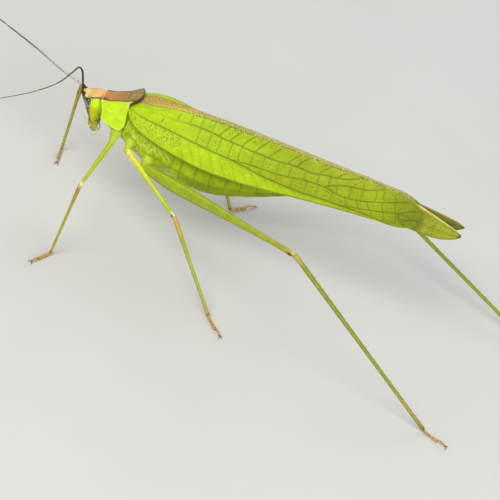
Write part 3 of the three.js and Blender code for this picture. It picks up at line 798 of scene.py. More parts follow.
def thoraxMasks(s, angle):
    x, z = thoraxSpot(s, angle)
    flank = smooth(abs(math.cos(angle)), 0.25, 0.6)
    glint = max(bell(math.hypot(x - gx, z - gz), 0, 0.1) for gx, gz in thoraxLook["glints"])
    # the furrow mask is painted shade in the dip just outside each plate's outline
    seam, furrowShade = bell(seamAway(x, z), 0, 0.085), bell(plateRing(x, z), 1.15, 0.16)
    return {"along": smooth(-math.sin(angle), 0.3, 0.9), "markA": 0.5 * seam * flank,
            "markB": 0.5 * furrowShade * flank, "markC": 0.8 * glint * flank}


bm = newMesh()
loft(bm, 200, 200, thoraxPlace, thoraxMasks)
# markB lays painted shade of the deep colour into the furrows round the plates
thoraxFinish = cuticle("thoraxPlates", [(0, thoraxLook["plate"]), (1, thoraxLook["belly"])],
                       marks=(("markB", thoraxLook["deep"]), ("markA", thoraxLook["ridge"]),
                              ("markC", thoraxLook["glint"])),
                       patches=0.1, flecks=0.08, size=1300, pits=0.3)
finishPiece("thoraxPlates", bm, thoraxFinish, ["thorax"])

# the abdomen: rings of equal length, with a fold along the side where back and belly meet; painted shade
# darkens that crease and the flank below it
# fold: the colour of the dark joints between the rings, also used for the painted shade in the side crease
# and on the flank below it
abdomenLook = {"back": (0.28, 0.365, 0.004), "fold": (0.15, 0.195, 0.004), "belly": (0.37, 0.43, 0.008),
               "edge": (0.60, 0.75, 0.02), "firstRing": 4.78, "ringLength": 1.69, "start": 5.2, "end": 20.3,
               "cercus": [(0, (0.28, 0.365, 0.004)), (0.8, (0.5, 0.4, 0.1)), (1, (0.1, 0.05, 0.02))]}
abdomenTop = profile((5.7, 12.1), (9, 12.15), (13, 12.5), (16, 12.75), (18.5, 12.9), (20.2, 12.55))
abdomenFoot = profile((5.2, 7.8), (6.4, 7.52), (8.2, 7.25), (10.5, 7.45), (13.5, 8.5), (16.5, 9.9),
                      (18.8, 11.1), (20.2, 11.9))
abdomenHalf = profile((5.2, 1.36), (7, 1.56), (9, 1.62), (13, 1.5), (16.5, 1.25), (18.8, 0.95), (20.2, 0.55))


def ringPhase(x, angle):
    return ((x + 0.12 * math.sin(angle) - abdomenLook["firstRing"]) / abdomenLook["ringLength"]) % 1


def abdomenPlace(s, angle):
    x = lerp(abdomenLook["start"], abdomenLook["end"], s)
    ring = ringPhase(x, angle)
    joint = bell(min(ring, 1 - ring), 0, 0.03)
    plump = 1 + 0.03 * math.sin(math.pi * ring) ** 0.6 + 0.012 * smooth(ring, 0.1, 0.94) - 0.03 * joint
    low = -math.sin(angle)
    crease = 1 - 0.07 * bell(low, 0.4, 0.08) + 0.02 * bell(low, 0.24, 0.1)
    middle = (abdomenTop(x) + abdomenFoot(x)) / 2
    rise = (abdomenTop(x) - abdomenFoot(x)) / 2
    end = math.sqrt(max(1 - max((s - 0.93) / 0.07, (0.03 - s) / 0.04, 0) ** 2, 0.02))
    return stand(x, math.cos(angle) * abdomenHalf(x) * plump * crease * end,
                 middle + math.sin(angle) * rise * lerp(1, plump, 0.6) * end)


def abdomenMasks(s, angle):
    x = lerp(abdomenLook["start"], abdomenLook["end"], s)
    ring = ringPhase(x, angle)
    low = -math.sin(angle)
    # painted shade: markC darkens the flank below the side fold, and markB adds a painted shade line along
    # the crease to the dark ring joints
    shade = 0.6 * smooth(x, 5.5, 8) * smooth(low, 0.34, 0.46) * (1 - 0.75 * smooth(low, 0.6, 0.95))
    bright = max(0.1 * bell(ring, 0.9, 0.05), 0.5 * (1 - smooth(x, 5.4, 10.5))) * (1 - shade)
    joint = bell(min(ring, 1 - ring), 0, 0.026)
    return {"along": low * 0.5 + 0.5, "markA": bright, "markC": shade,
            "markB": max(0.85 * joint, 0.5 * bell(low, 0.4, 0.05))}


bm = newMesh()
loft(bm, 260, 84, abdomenPlace, abdomenMasks)
# the fold colour paints the dark ring joints and the painted shade of the side crease and the flank below it
abdomenFinish = cuticle(
    "abdomenRings", [(0, abdomenLook["back"]), (0.7, abdomenLook["back"]), (0.95, abdomenLook["belly"])],
    marks=(("markA", abdomenLook["edge"]), ("markC", abdomenLook["fold"]), ("markB", abdomenLook["fold"])),
    patches=0.2, flecks=0.14, roughness=0.55, coat=0.03, gloss=0.16, size=1100)
finishPiece("abdomenRings", bm, abdomenFinish, ["abdomen"])
cercusFinish = cuticle("cercusSkin", abdomenLook["cercus"])
for side, sign in (("left", -1), ("right", 1)):
    bm = newMesh()
    hook = route([stand(20.0, sign * 0.36, 12.2), stand(21.1, sign * 0.62, 12.3),
                  stand(21.9, sign * 0.36, 12.55)])
    limb(bm, hook, Vector((0, 0, 1)), lambda s: lerp(0.25, 0.08, s ** 1.6), rings=26, segments=16)
    finishPiece(f"cercus_{side}_hook", bm, cercusFinish, [f"cercus_{side}"])
print("thorax and abdomen done")

# the legs run between the ends of the solids' femurs, tibiae and tarsi
def meshPoints(mesh):
    flat = np.empty(len(mesh.vertices) * 3)
    mesh.vertices.foreach_get("co", flat)
    return flat.reshape(-1, 3)


# the two ends of a long node, the one nearer to the given spot first
def nodeEnds(name, close):
    points = meshPoints(frame["nodes"][name].data)
    centre = points.mean(axis=0)
    axis = np.linalg.svd(points - centre, full_matrices=False)[2][0]
    reach = (points - centre) @ axis
    span = reach.max() - reach.min()
    ends = []
    for tip in (reach < reach.min() + 0.03 * span, reach > reach.max() - 0.03 * span):
        chosen = points[tip]
        ends.append(Vector((chosen.min(axis=0) + chosen.max(axis=0)) / 2))
    return sorted(ends, key=lambda p: (p - close).length)


def boxMiddle(name):
    low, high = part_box(name)
    return (Vector(low) + Vector(high)) / 2


# femur: radii of belly, waist and knee in mm, where it is thickest, and how thick it starts
# tibia: radii at both ends and a swelling near the knee; coxa: radii above and below
# floor: the height in metres that no part of a foot goes under
legLook = {
    "front": {"femur": (0.36, 0.23, 0.29), "peak": 0.22, "start": 0.86, "sag": 0.03, "femurRings": 130,
              "ribs": 34, "under": 0.25, "tibia": (0.18, 0.155), "swell": 0.06, "tibiaRings": 90,
              "spines": 6, "spine": 0.14, "firstSpine": 0.3, "spinesUp": -1, "coxa": (0.7, 0.38)},
    "middle": {"femur": (0.42, 0.25, 0.29), "peak": 0.1, "start": 0.95, "sag": 0.03, "femurRings": 130,
               "ribs": 34, "under": 0.25, "tibia": (0.22, 0.18), "swell": 0.04, "tibiaRings": 90,
               "spines": 9, "spine": 0.18, "firstSpine": 0.3, "spinesUp": -1, "coxa": (0.54, 0.44)},
    "hind": {"femur": (0.9, 0.34, 0.42), "peak": 0.19, "start": 0.62, "sag": 0.3, "femurRings": 300,
             "ribs": 74, "under": 0.6, "tibia": (0.26, 0.2), "swell": 0.0, "tibiaRings": 170,
             "spines": 26, "spine": 0.2, "firstSpine": 0.12, "spinesUp": 1, "coxa": (0.72, 0.6)},
    "floor": 0.00002,
}
legPaint = {
    "front": {"femur": [(0, (0.46, 0.55, 0.008)), (0.9, (0.44, 0.50, 0.015)), (1, (0.86, 0.74, 0.42))],
              "tibia": [(0, (0.62, 0.36, 0.09)), (0.05, (0.42, 0.22, 0.05)), (0.3, (0.36, 0.27, 0.035)),
                        (0.6, (0.33, 0.33, 0.03)), (1, (0.40, 0.28, 0.04))],
              "tarsus": (0.46, 0.26, 0.06)},
    "middle": {"femur": [(0, (0.86, 0.74, 0.09)), (0.35, (0.60, 0.64, 0.02)), (0.9, (0.44, 0.54, 0.015)),
                         (1, (0.90, 0.72, 0.45))],
               "tibia": [(0, (0.60, 0.34, 0.09)), (0.12, (0.45, 0.33, 0.05)), (0.35, (0.34, 0.38, 0.02)),
                         (0.8, (0.36, 0.36, 0.03)), (1, (0.46, 0.28, 0.05))],
               "tarsus": (0.52, 0.31, 0.07)},
    "hind": {"femur": [(0, (0.38, 0.51, 0.005)), (0.12, (0.29, 0.40, 0.004)), (0.6, (0.28, 0.35, 0.005)),
                       (0.93, (0.36, 0.36, 0.01)), (1, (0.56, 0.48, 0.12))],
             "tibia": [(0, (0.44, 0.36, 0.07)), (0.08, (0.23, 0.245, 0.012)), (0.6, (0.23, 0.26, 0.014)),
                       (1, (0.34, 0.26, 0.03))],
             "tarsus": (0.44, 0.28, 0.07)},
    "coxa": [(0, (0.38, 0.50, 0.012)), (1, (0.46, 0.58, 0.02))], "rust": (0.42, 0.16, 0.03),
    "spot": (0.06, 0.03, 0.012), "keel": (0.62, 0.70, 0.09), "under": (0.17, 0.26, 0.008),
    "joint": (0.10, 0.05, 0.02), "pad": (0.72, 0.55, 0.25),
    "claw": [(0, (0.35, 0.17, 0.04)), (0.5, (0.10, 0.045, 0.015))],
}
coxaFinish = cuticle("coxaSkin", legPaint["coxa"], patches=0.15,
                     marks=(("markA", legPaint["rust"]), ("markB", legPaint["keel"])))
clawFinish = cuticle("clawSkin", legPaint["claw"], roughness=0.25)
keelMark, spotMark, underMark = (("markA", legPaint["keel"]), ("markB", legPaint["spot"]),
                                 ("markC", legPaint["under"]))
legFinishes = {}
for pair in ("front", "middle", "hind"):
    paints = legPaint[pair]
    legFinishes[pair] = {
        "femur": cuticle(f"femur_{pair}_skin", paints["femur"], marks=(keelMark, underMark, spotMark),
                         patches=0.14, flecks=0.16, size=1100, pits=0.5, pitSize=5200, relief=0.3),
        "tibia": cuticle(f"tibia_{pair}_skin", paints["tibia"], marks=(keelMark, spotMark),
                         patches=0.16, flecks=0.14, size=1300),
        "tarsus": cuticle(f"tarsus_{pair}_skin", [(0, paints["tarsus"]), (1, paints["tarsus"])],
                          marks=(("markA", legPaint["joint"]), ("markB", legPaint["pad"])),
                          patches=0.2, size=1800),
    }


# coxa, tapering into the trochanter
def makeCoxa(leg, look, coxaTop, hip, knee):
    coxaLine = hip - coxaTop
    bm = newMesh()
    wideTop, wideFoot = look["coxa"]
    limb(bm, lambda s: coxaTop + coxaLine * lerp(-0.3, 1.0, s), Vector((1, 0, 0)),
         lambda s: lerp(wideTop, wideFoot, smooth(s, 0.3, 0.97)) * lobed(s, 0.25, 2.4, 0.6),
         rings=36, segments=30,
         bulge=lambda s, a: 1 + 0.05 * bell(math.sin(a), 1, 0.4) - 0.035 * bell(s, 0.82, 0.03),
         masks=lambda s, a: {"along": s, "markA": 0.15 * bell(s, 0.82, 0.025),
                             "markB": 0.35 * bell(math.sin(a), 1, 0.15) + 0.25 * bell(s, 0.76, 0.03)})
    collar = (knee - hip).normalized() * wideFoot * mm
    neck = look["femur"][0] * look["start"]
    limb(bm, lambda s: hip - collar * 0.35 + collar * 1.15 * s, Vector((0, 0.1, 1)),
         lambda s: lerp(wideFoot, neck * 1.03, s) * lobed(s, 0.5, 2.75, 0.25), rings=18, segments=26,
         masks=lambda s, a: {"along": 1, "markA": 0.22 * bell(s, 0.9, 0.06)})
    finishPiece(f"coxa_{leg}_segment", bm, coxaFinish, [f"coxa_{leg}"])


# femur: strong near the body, ribbed above, ending in two pale knee lobes
def makeFemur(leg, pair, look, sign, hip, knee, legUp):
    bulk, waist, kneeSize = look["femur"]

    def femurDepth(s):
        start = smooth(s, -0.05, look["peak"])
        lean = 1 - smooth(s, look["peak"], 0.92) ** 0.75
        base = lerp(waist, bulk, lean) * lerp(look["start"], 1, start)
        return base + (kneeSize - waist) * smooth(s, 0.9, 0.965) * lobed(min(s, 1), 0.3, 2.9, 0.2)

    sags = ((0.12, 0.7), (0.27, 1), (0.55, 0.4))
    bent = [hip.lerp(knee, at) - legUp * look["sag"] * share * mm for at, share in sags]
    femurLine = route([hip, *bent, knee])

    def ribWave(s):
        return math.sin(s * look["ribs"] * 2 * math.pi)

    def femurBulge(s, angle):
        topness = max(math.sin(angle), 0)
        fromTop = abs(angle - math.pi / 2)
        swell = 1 + 0.05 * bell(angle, math.pi / 2, 0.16) + 0.045 * bell(fromTop, 1.15, 0.12)
        swell += 0.05 * bell(abs(angle - 3 * math.pi / 2), 0.42, 0.13)
        if pair == "hind":
            swell += 0.012 * ribWave(s) * bell(fromTop, 0.6, 0.42) * (1 - smooth(s, 0.75, 0.9))
        swell -= 0.10 * bell(s, 0.945, 0.012) * (0.4 + 0.6 * topness)
        return swell

    def femurMasks(s, angle):
        fromTop = abs(angle - math.pi / 2)
        keel = bell(fromTop, 1.15, 0.10) + 0.7 * bell(angle, math.pi / 2, 0.12)
        spot = bell(s, 0.975, 0.013) * bell(math.cos(angle), -sign, 0.35)
        low = smooth(-math.sin(angle), 0.35, 0.85) * (1 - smooth(s, 0.85, 0.95)) * look["under"]
        rib = 0.15 * (ribWave(s) > 0.2) * bell(fromTop, 0.6, 0.4) * (pair == "hind")
        return {"markA": min((0.5 * keel + rib) * (1 - smooth(s, 0.85, 0.93)), 1),
                "markB": min(spot * 1.3, 1), "markC": low}

    def closing(s):
        return min(1, 3 * math.sqrt(max(1.003 - s, 0)) * 2)
    bm = newMesh()
    limb(bm, femurLine, legUp, lambda s: 0.78 * femurDepth(s) * closing(s),
         lambda s: femurDepth(s) * closing(s), rings=look["femurRings"], segments=36,
         bulge=femurBulge, masks=femurMasks)
    finishPiece(f"femur_{leg}_shaft", bm, legFinishes[pair]["femur"], [f"femur_{leg}"])


# tibia: a slim four-edged rod with rows of spines
def makeTibia(leg, pair, look, knee, ankle, legUp):
    thickTop, thickFoot = look["tibia"]

    def tibiaSize(s):
        size = lerp(thickTop, thickFoot, smooth(s, 0, 0.7)) + look["swell"] * bell(s, 0.13, 0.1)
        size += 0.05 * bell(s, 0.0, 0.02)
        size += 0.03 * bell(s, 1.0, 0.02)
        return size * min(1, 4 * math.sqrt(max(1.002 - s, 0)) * 2)

    def tibiaBulge(s, angle):
        square = 1 + 0.07 * math.cos(4 * (angle - math.pi / 4)) * smooth(s, 0.05, 0.2)
        drum = bell(s, 0.12, 0.035) * bell(abs(math.cos(angle)), 1, 0.25) if pair == "front" else 0
        return square - 0.16 * drum

    def tibiaMasks(s, angle):
        drum = 0.9 * bell(s, 0.12, 0.028) * bell(abs(math.cos(angle)), 1, 0.12) if pair == "front" else 0
        edges = bell(math.cos(4 * (angle - math.pi / 4)), 1, 0.35)
        return {"markA": 0.35 * edges * smooth(s, 0.05, 0.15), "markB": drum + 0.6 * bell(s, 0.985, 0.012)}
    bm = newMesh()
    line = route([knee, knee.lerp(ankle, 0.08) + legUp * 0.05 * mm, knee.lerp(ankle, 0.5), ankle])
    tibiaUp = (ankle - knee).cross(legUp.cross(ankle - knee)).normalized()
    limb(bm, line, tibiaUp, tibiaSize, rings=look["tibiaRings"], segments=24, bulge=tibiaBulge,
         masks=tibiaMasks)
    ahead = (ankle - knee).normalized()
    across = ahead.cross(tibiaUp).normalized()
    facing = tibiaUp * look["spinesUp"]
    for k in range(look["spines"]):
        s = lerp(look["firstSpine"], 0.97, (k + 0.5) / look["spines"])
        for row in (-1, 1):
            lean = (facing * 0.9 + across * row * 0.7 + ahead * 0.75).normalized()
            out = (facing * 0.66 + across * row * 0.66) * tibiaSize(s) * mm
            grow = look["spine"] * lerp(0.8, 1.15, s) * mm
            spike(bm, line(min(s + 0.006 * row, 1)) + out, lean, grow, 0.042 * mm,
                  {"along": s, "markB": 0.35})
    for row in (-1, 1):
        spur = (ahead - tibiaUp * 0.35 + across * row * 0.5).normalized()
        spike(bm, line(0.985) + across * row * 0.12 * mm, spur, 0.3 * mm, 0.05 * mm,
              {"along": 1, "markB": 0.5})
    finishPiece(f"tibia_{leg}_shaft", bm, legFinishes[pair]["tibia"], [f"tibia_{leg}"])


# tarsus: three lobed joints lying on their pads, then an arched joint with the claws
def makeTarsus(leg, pair, ankle, toe):
    up = Vector((0, 0, 1))
    sole = Vector(((toe - ankle).x, (toe - ankle).y, 0))
    length = sole.length
    walk = sole.normalized()
    aside = up.cross(walk)
    start = Vector((ankle.x, ankle.y, 0)) - walk * 0.1 * mm
    bm = newMesh()
    # each joint: where it starts and ends along the foot, its half width and its height
    for low, high, broad, tall in ((0.0, 0.3, 0.2, 0.34), (0.27, 0.47, 0.2, 0.3), (0.44, 0.66, 0.27, 0.3)):
        def jointPoint(s):
            rise = lerp(tall, 0.17, s ** 0.7)
            return start + walk * (lerp(low, high, s) * length) + Vector((0, 0, rise * mm))
        limb(bm, jointPoint, up, lambda s: lerp(0.12, broad, s ** 1.2) * lobed(s, 0.5, 2.9, 0.4),
             lambda s: lerp(0.13, 0.15, s) * lobed(s, 0.5, 2.8, 0.4), rings=18, segments=18,
             floor=legLook["floor"],
             masks=lambda s, a: {"markA": 0.85 * bell(s, 0.02, 0.09) + 0.4 * bell(s, 0.97, 0.05),
                                 "markB": 0.5 * smooth(-math.sin(a), 0.3, 0.9)})
    arch = [start + walk * (k * length) + Vector((0, 0, h * mm))
            for k, h in ((0.56, 0.26), (0.72, 0.42), (0.9, 0.36), (1.0, 0.24))]
    limb(bm, route(arch), up, lambda s: (0.085 + 0.045 * s) * lobed(s, 0.5, 2.6, 0.4),
         rings=26, segments=16, masks=lambda s, a: {"markA": 0.8 * bell(s, 1, 0.08)})
    finishPiece(f"tarsus_{leg}_joints", bm, legFinishes[pair]["tarsus"], [f"tarsus_{leg}"])
    bm = newMesh()
    for row in (-1, 1):
        hook = [arch[-1] - walk * 0.06 * mm,
                arch[-1] + walk * 0.14 * mm + aside * row * 0.14 * mm + Vector((0, 0, 0.03)) * mm,
                arch[-1] + walk * 0.26 * mm + aside * row * 0.26 * mm - Vector((0, 0, 0.16)) * mm]
        limb(bm, route(hook), up, lambda s: lerp(0.06, 0.015, s), rings=14, segments=10,
             floor=legLook["floor"])
    finishPiece(f"claws_{leg}", bm, clawFinish, [f"tarsus_{leg}"])


for pair in ("front", "middle", "hind"):
    look = legLook[pair]
    for side, sign in (("left", -1), ("right", 1)):
        leg = f"{pair}_{side}"
        hip, kneeA = nodeEnds(f"femur_{leg}", boxMiddle(f"coxa_{leg}"))
        kneeB, ankleA = nodeEnds(f"tibia_{leg}", kneeA)
        ankleB, toe = nodeEnds(f"tarsus_{leg}", ankleA)
        knee, ankle = (kneeA + kneeB) / 2, (ankleA + ankleB) / 2
        legUp = (knee - hip).cross(ankle - knee).cross(knee - hip).normalized() * -1
        coxaTop = boxMiddle(f"coxa_{leg}")
        coxaTop.y -= sign * 0.6 * mm
        coxaTop.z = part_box(f"coxa_{leg}")[1][2] - 0.5 * mm
        makeCoxa(leg, look, coxaTop, hip, knee)
        makeFemur(leg, pair, look, sign, hip, knee, legUp)
        makeTibia(leg, pair, look, knee, ankle, legUp)
        makeTarsus(leg, pair, ankle, toe)
print("legs done")

# the forewings: a back strip, a rounded edge and the flank, in one sheet
# rows: cells across strip, edge and flank; corner: length and height of the lower tip corner
wing = {
    "root": -0.95, "tip": 32.4, "columns": 440, "rows": (12, 16, 80), "thick": 0.1,
    "corner": (1.9, 1.5), "cornerSoft": 2.35, "upperCorner": 1.25, "upperStart": 27,
    "lime": (0.50, 0.70, 0.004), "green": (0.43, 0.63, 0.005), "olive": (0.36, 0.45, 0.005),
    "end": (0.20, 0.235, 0.006), "vein": (0.12, 0.14, 0.004), "rootVein": (0.17, 0.16, 0.006),
    "net": (0.55, 0.70, 0.03), "dot": (0.022, 0.036, 0.004), "pit": (0.13, 0.22, 0.004),
    "tan": (0.56, 0.53, 0.13), "pink": (0.80, 0.54, 0.11), "yellow": (0.80, 0.76, 0.075),
    "umber": (0.15, 0.09, 0.03), "cream": (0.76, 0.80, 0.10), "seam": (0.15, 0.125, 0.006),
    "rim": (0.21, 0.17, 0.01),
}
wingLength = wing["tip"] - wing["root"]
wingMasks = ("markF", "markG", "markH")   # the wing carries three masks more
wingTop = profile((-1, 14.2), (-0.3, 14.75), (1.5, 15.25), (4, 15.65), (8, 15.95), (13, 16.15), (22, 16.28),
                  (28, 16.42), (30, 16.38), (31, 16.18), (32.5, 15.7))
wingFoot = profile((-1, 12.7), (-0.35, 12.46), (1, 12.05), (2.5, 11.7), (3.8, 11.42), (5.6, 11.15),
                   (8.7, 10.82), (13, 10.95), (17.7, 11.57), (24.6, 12.42), (29.4, 12.84), (31, 13.05),
                   (32.5, 13.35))
dorsalHalf = profile((-1, 1.35), (-0.1, 1.62), (2, 1.85), (4, 1.5), (6.5, 0.85), (9, 0.5), (20, 0.46),
                     (27, 0.9), (32.5, 0.9))
shoulderDrop = profile((-1, 0.3), (0.5, 0.14), (4, 0.2), (9, 0.55), (32.5, 0.55))
flankOut = profile((-1, 1.5), (0, 1.95), (3, 2.3), (7, 2.32), (13, 2.05), (21, 1.6), (27, 1.3), (32.5, 1.1))
brownHalf = profile((-1, 0.8), (0.1, 0.98), (1.4, 1.12), (2.8, 0.88), (4, 0.66), (5.4, 0.58), (9, 0.47),
                    (14, 0.42), (22, 0.32), (29, 0.24), (32.5, 0.16))
backCrown = profile((-1, -0.06), (3, 0.05), (6, 0.2), (13, 0.18), (24, 0.12), (29, 0.0), (32.5, -0.1))

# the veins, named as on a real forewing: (distance along, share of the way down the flank)
longVeins = {
    "radius": [(-0.8, 0.02), (-0.3, 0.2), (0.24, 0.32), (1.2, 0.37), (2.1, 0.39), (3.2, 0.4), (4.5, 0.43),
               (5.7, 0.455), (7.1, 0.475), (8.4, 0.49), (9.8, 0.505), (11.2, 0.53), (13, 0.58), (15, 0.66),
               (17.1, 0.73), (18.4, 0.76), (19.5, 0.79), (21.5, 0.8), (23.5, 0.83), (26, 0.87), (28, 0.93),
               (31, 1.06)],
    "media": [(1.5, 0.06), (2.4, 0.07), (3.8, 0.1), (6.8, 0.1), (8.1, 0.11), (9.1, 0.135), (10.3, 0.16),
              (11.6, 0.17), (13, 0.19), (16.2, 0.2), (17.1, 0.17), (18, 0.16), (19.25, 0.17), (20.2, 0.16),
              (21.2, 0.09), (22.5, 0.04), (23.7, -0.06), (24.7, -0.24)],
    "radialSector": [(11.2, 0.53), (12.2, 0.51), (13.4, 0.49), (15, 0.5), (16.7, 0.5), (17.8, 0.47),
                     (19, 0.43), (20.1, 0.41), (21.4, 0.41), (22.2, 0.31), (23.5, 0.17), (24.5, 0.11),
                     (25.7, 0.04), (26.9, -0.1), (27.7, -0.27)],
    "sectorLower": [(21.4, 0.41), (22.3, 0.44), (23.1, 0.5), (24.3, 0.5), (25.6, 0.46), (26.9, 0.34),
                    (28.35, 0.17), (29.5, 0.01), (30.5, -0.2)],
    "tipFork": [(23.5, 0.83), (25.2, 0.77), (26.8, 0.68), (28, 0.6), (29, 0.51), (29.9, 0.41), (30.6, 0.24),
                (31.7, -0.1)],
    "tipStem": [(29.9, 0.41), (30.3, 0.39), (31.2, 0.43), (31.9, 0.37), (32.5, 0.33)],
    "tipArc": [(29.9, 0.41), (30.16, 0.62), (30.49, 0.76), (31.36, 0.89), (31.7, 0.95)],
    "tipBow": [(30.16, 0.63), (30.76, 0.64), (31.43, 0.46)],
}
# runs of cross veins: upper vein, lower vein, first place, last place, step, lean, wobble
crossRuns = [
    ("media", "radius", 7.1, 11.6, 1.4, 0.0, 0.3), ("media", "radialSector", 11.9, 23.0, 1.45, 0.1, 0.3),
    ("radialSector", "radius", 13.3, 21.3, 1.6, 0.07, 0.3),
    ("sectorLower", "radius", 22.6, 23.6, 1.3, 0.0, 0.3),
    ("tipFork", "radius", 24.6, 29.9, 1.25, 0.35, 0.3),
    ("sectorLower", "tipFork", 24.0, 30.4, 1.35, 0.45, 0.3),
    ("radialSector", "sectorLower", 22.7, 27.2, 1.4, 0.3, 0.3),
    ("stripFoot", "media", 4.5, 8.6, 1.15, -0.1, 0.1),
    ("stripFoot", "radialSector", 25.3, 26.6, 1.3, 0.2, 0.3),
    ("stripFoot", "sectorLower", 27.7, 29.8, 1.3, 0.4, 0.3),
]
# short branches that rise from the media: where they start, and their steps along and up
branchStarts = (9.1, 10.4, 11.8, 13.3, 14.9, 17, 18, 20.5, 22.5)
branchSteps = ((0, 0), (0.2, 0.09), (0.45, 0.17), (0.72, 0.25), (1.0, 0.33))


# short veins that link two long ones every step or so, each with its own slight bend
def crossVeins(upper, lower, start, stop, step, lean, wobble, dice):
    made = []
    at = start
    while at < stop:
        top, bottom = upper(at), lower(at + lean)
        if bottom > top + 0.03:
            bend = dice.uniform(-wobble, wobble)
            made.append([(at, top), (at + lean / 2 + bend * 0.4, (top + bottom) / 2), (at + lean, bottom)])
        at += step * dice.uniform(0.82, 1.18)
    return made


# the shortest way from every point of the wing to a set of vein lines
def veinDistance(points, lines, height):
    best = np.full(len(points), 9.0)
    for line in lines:
        spots = np.array([(x, t * height(x)) for x, t in line])
        for a, b in zip(spots, spots[1:]):
            near = (points[:, 0] > min(a[0], b[0]) - 0.9) & (points[:, 0] < max(a[0], b[0]) + 0.9)
            run = b - a
            chosen = points[near] - a
            t = np.clip((chosen @ run) / max(run @ run, 1e-9), 0, 1)
            best[near] = np.minimum(best[near], np.linalg.norm(chosen - t[:, None] * run, axis=1))
    return best


# smooth() for a whole array of wing points at once
def gate(value, low, high):
    t = np.clip((value - low) / (high - low), 0, 1)
    return t * t * (3 - 2 * t)


# a long vein as an even chain of short straight pieces
def smoothLine(name, read):
    first, last = longVeins[name][0][0], longVeins[name][-1][0]
    steps = 70
    stops = [lerp(first, last, k / steps) for k in range(steps + 1)]
    return [(stop, float(read(stop))) for stop in stops]


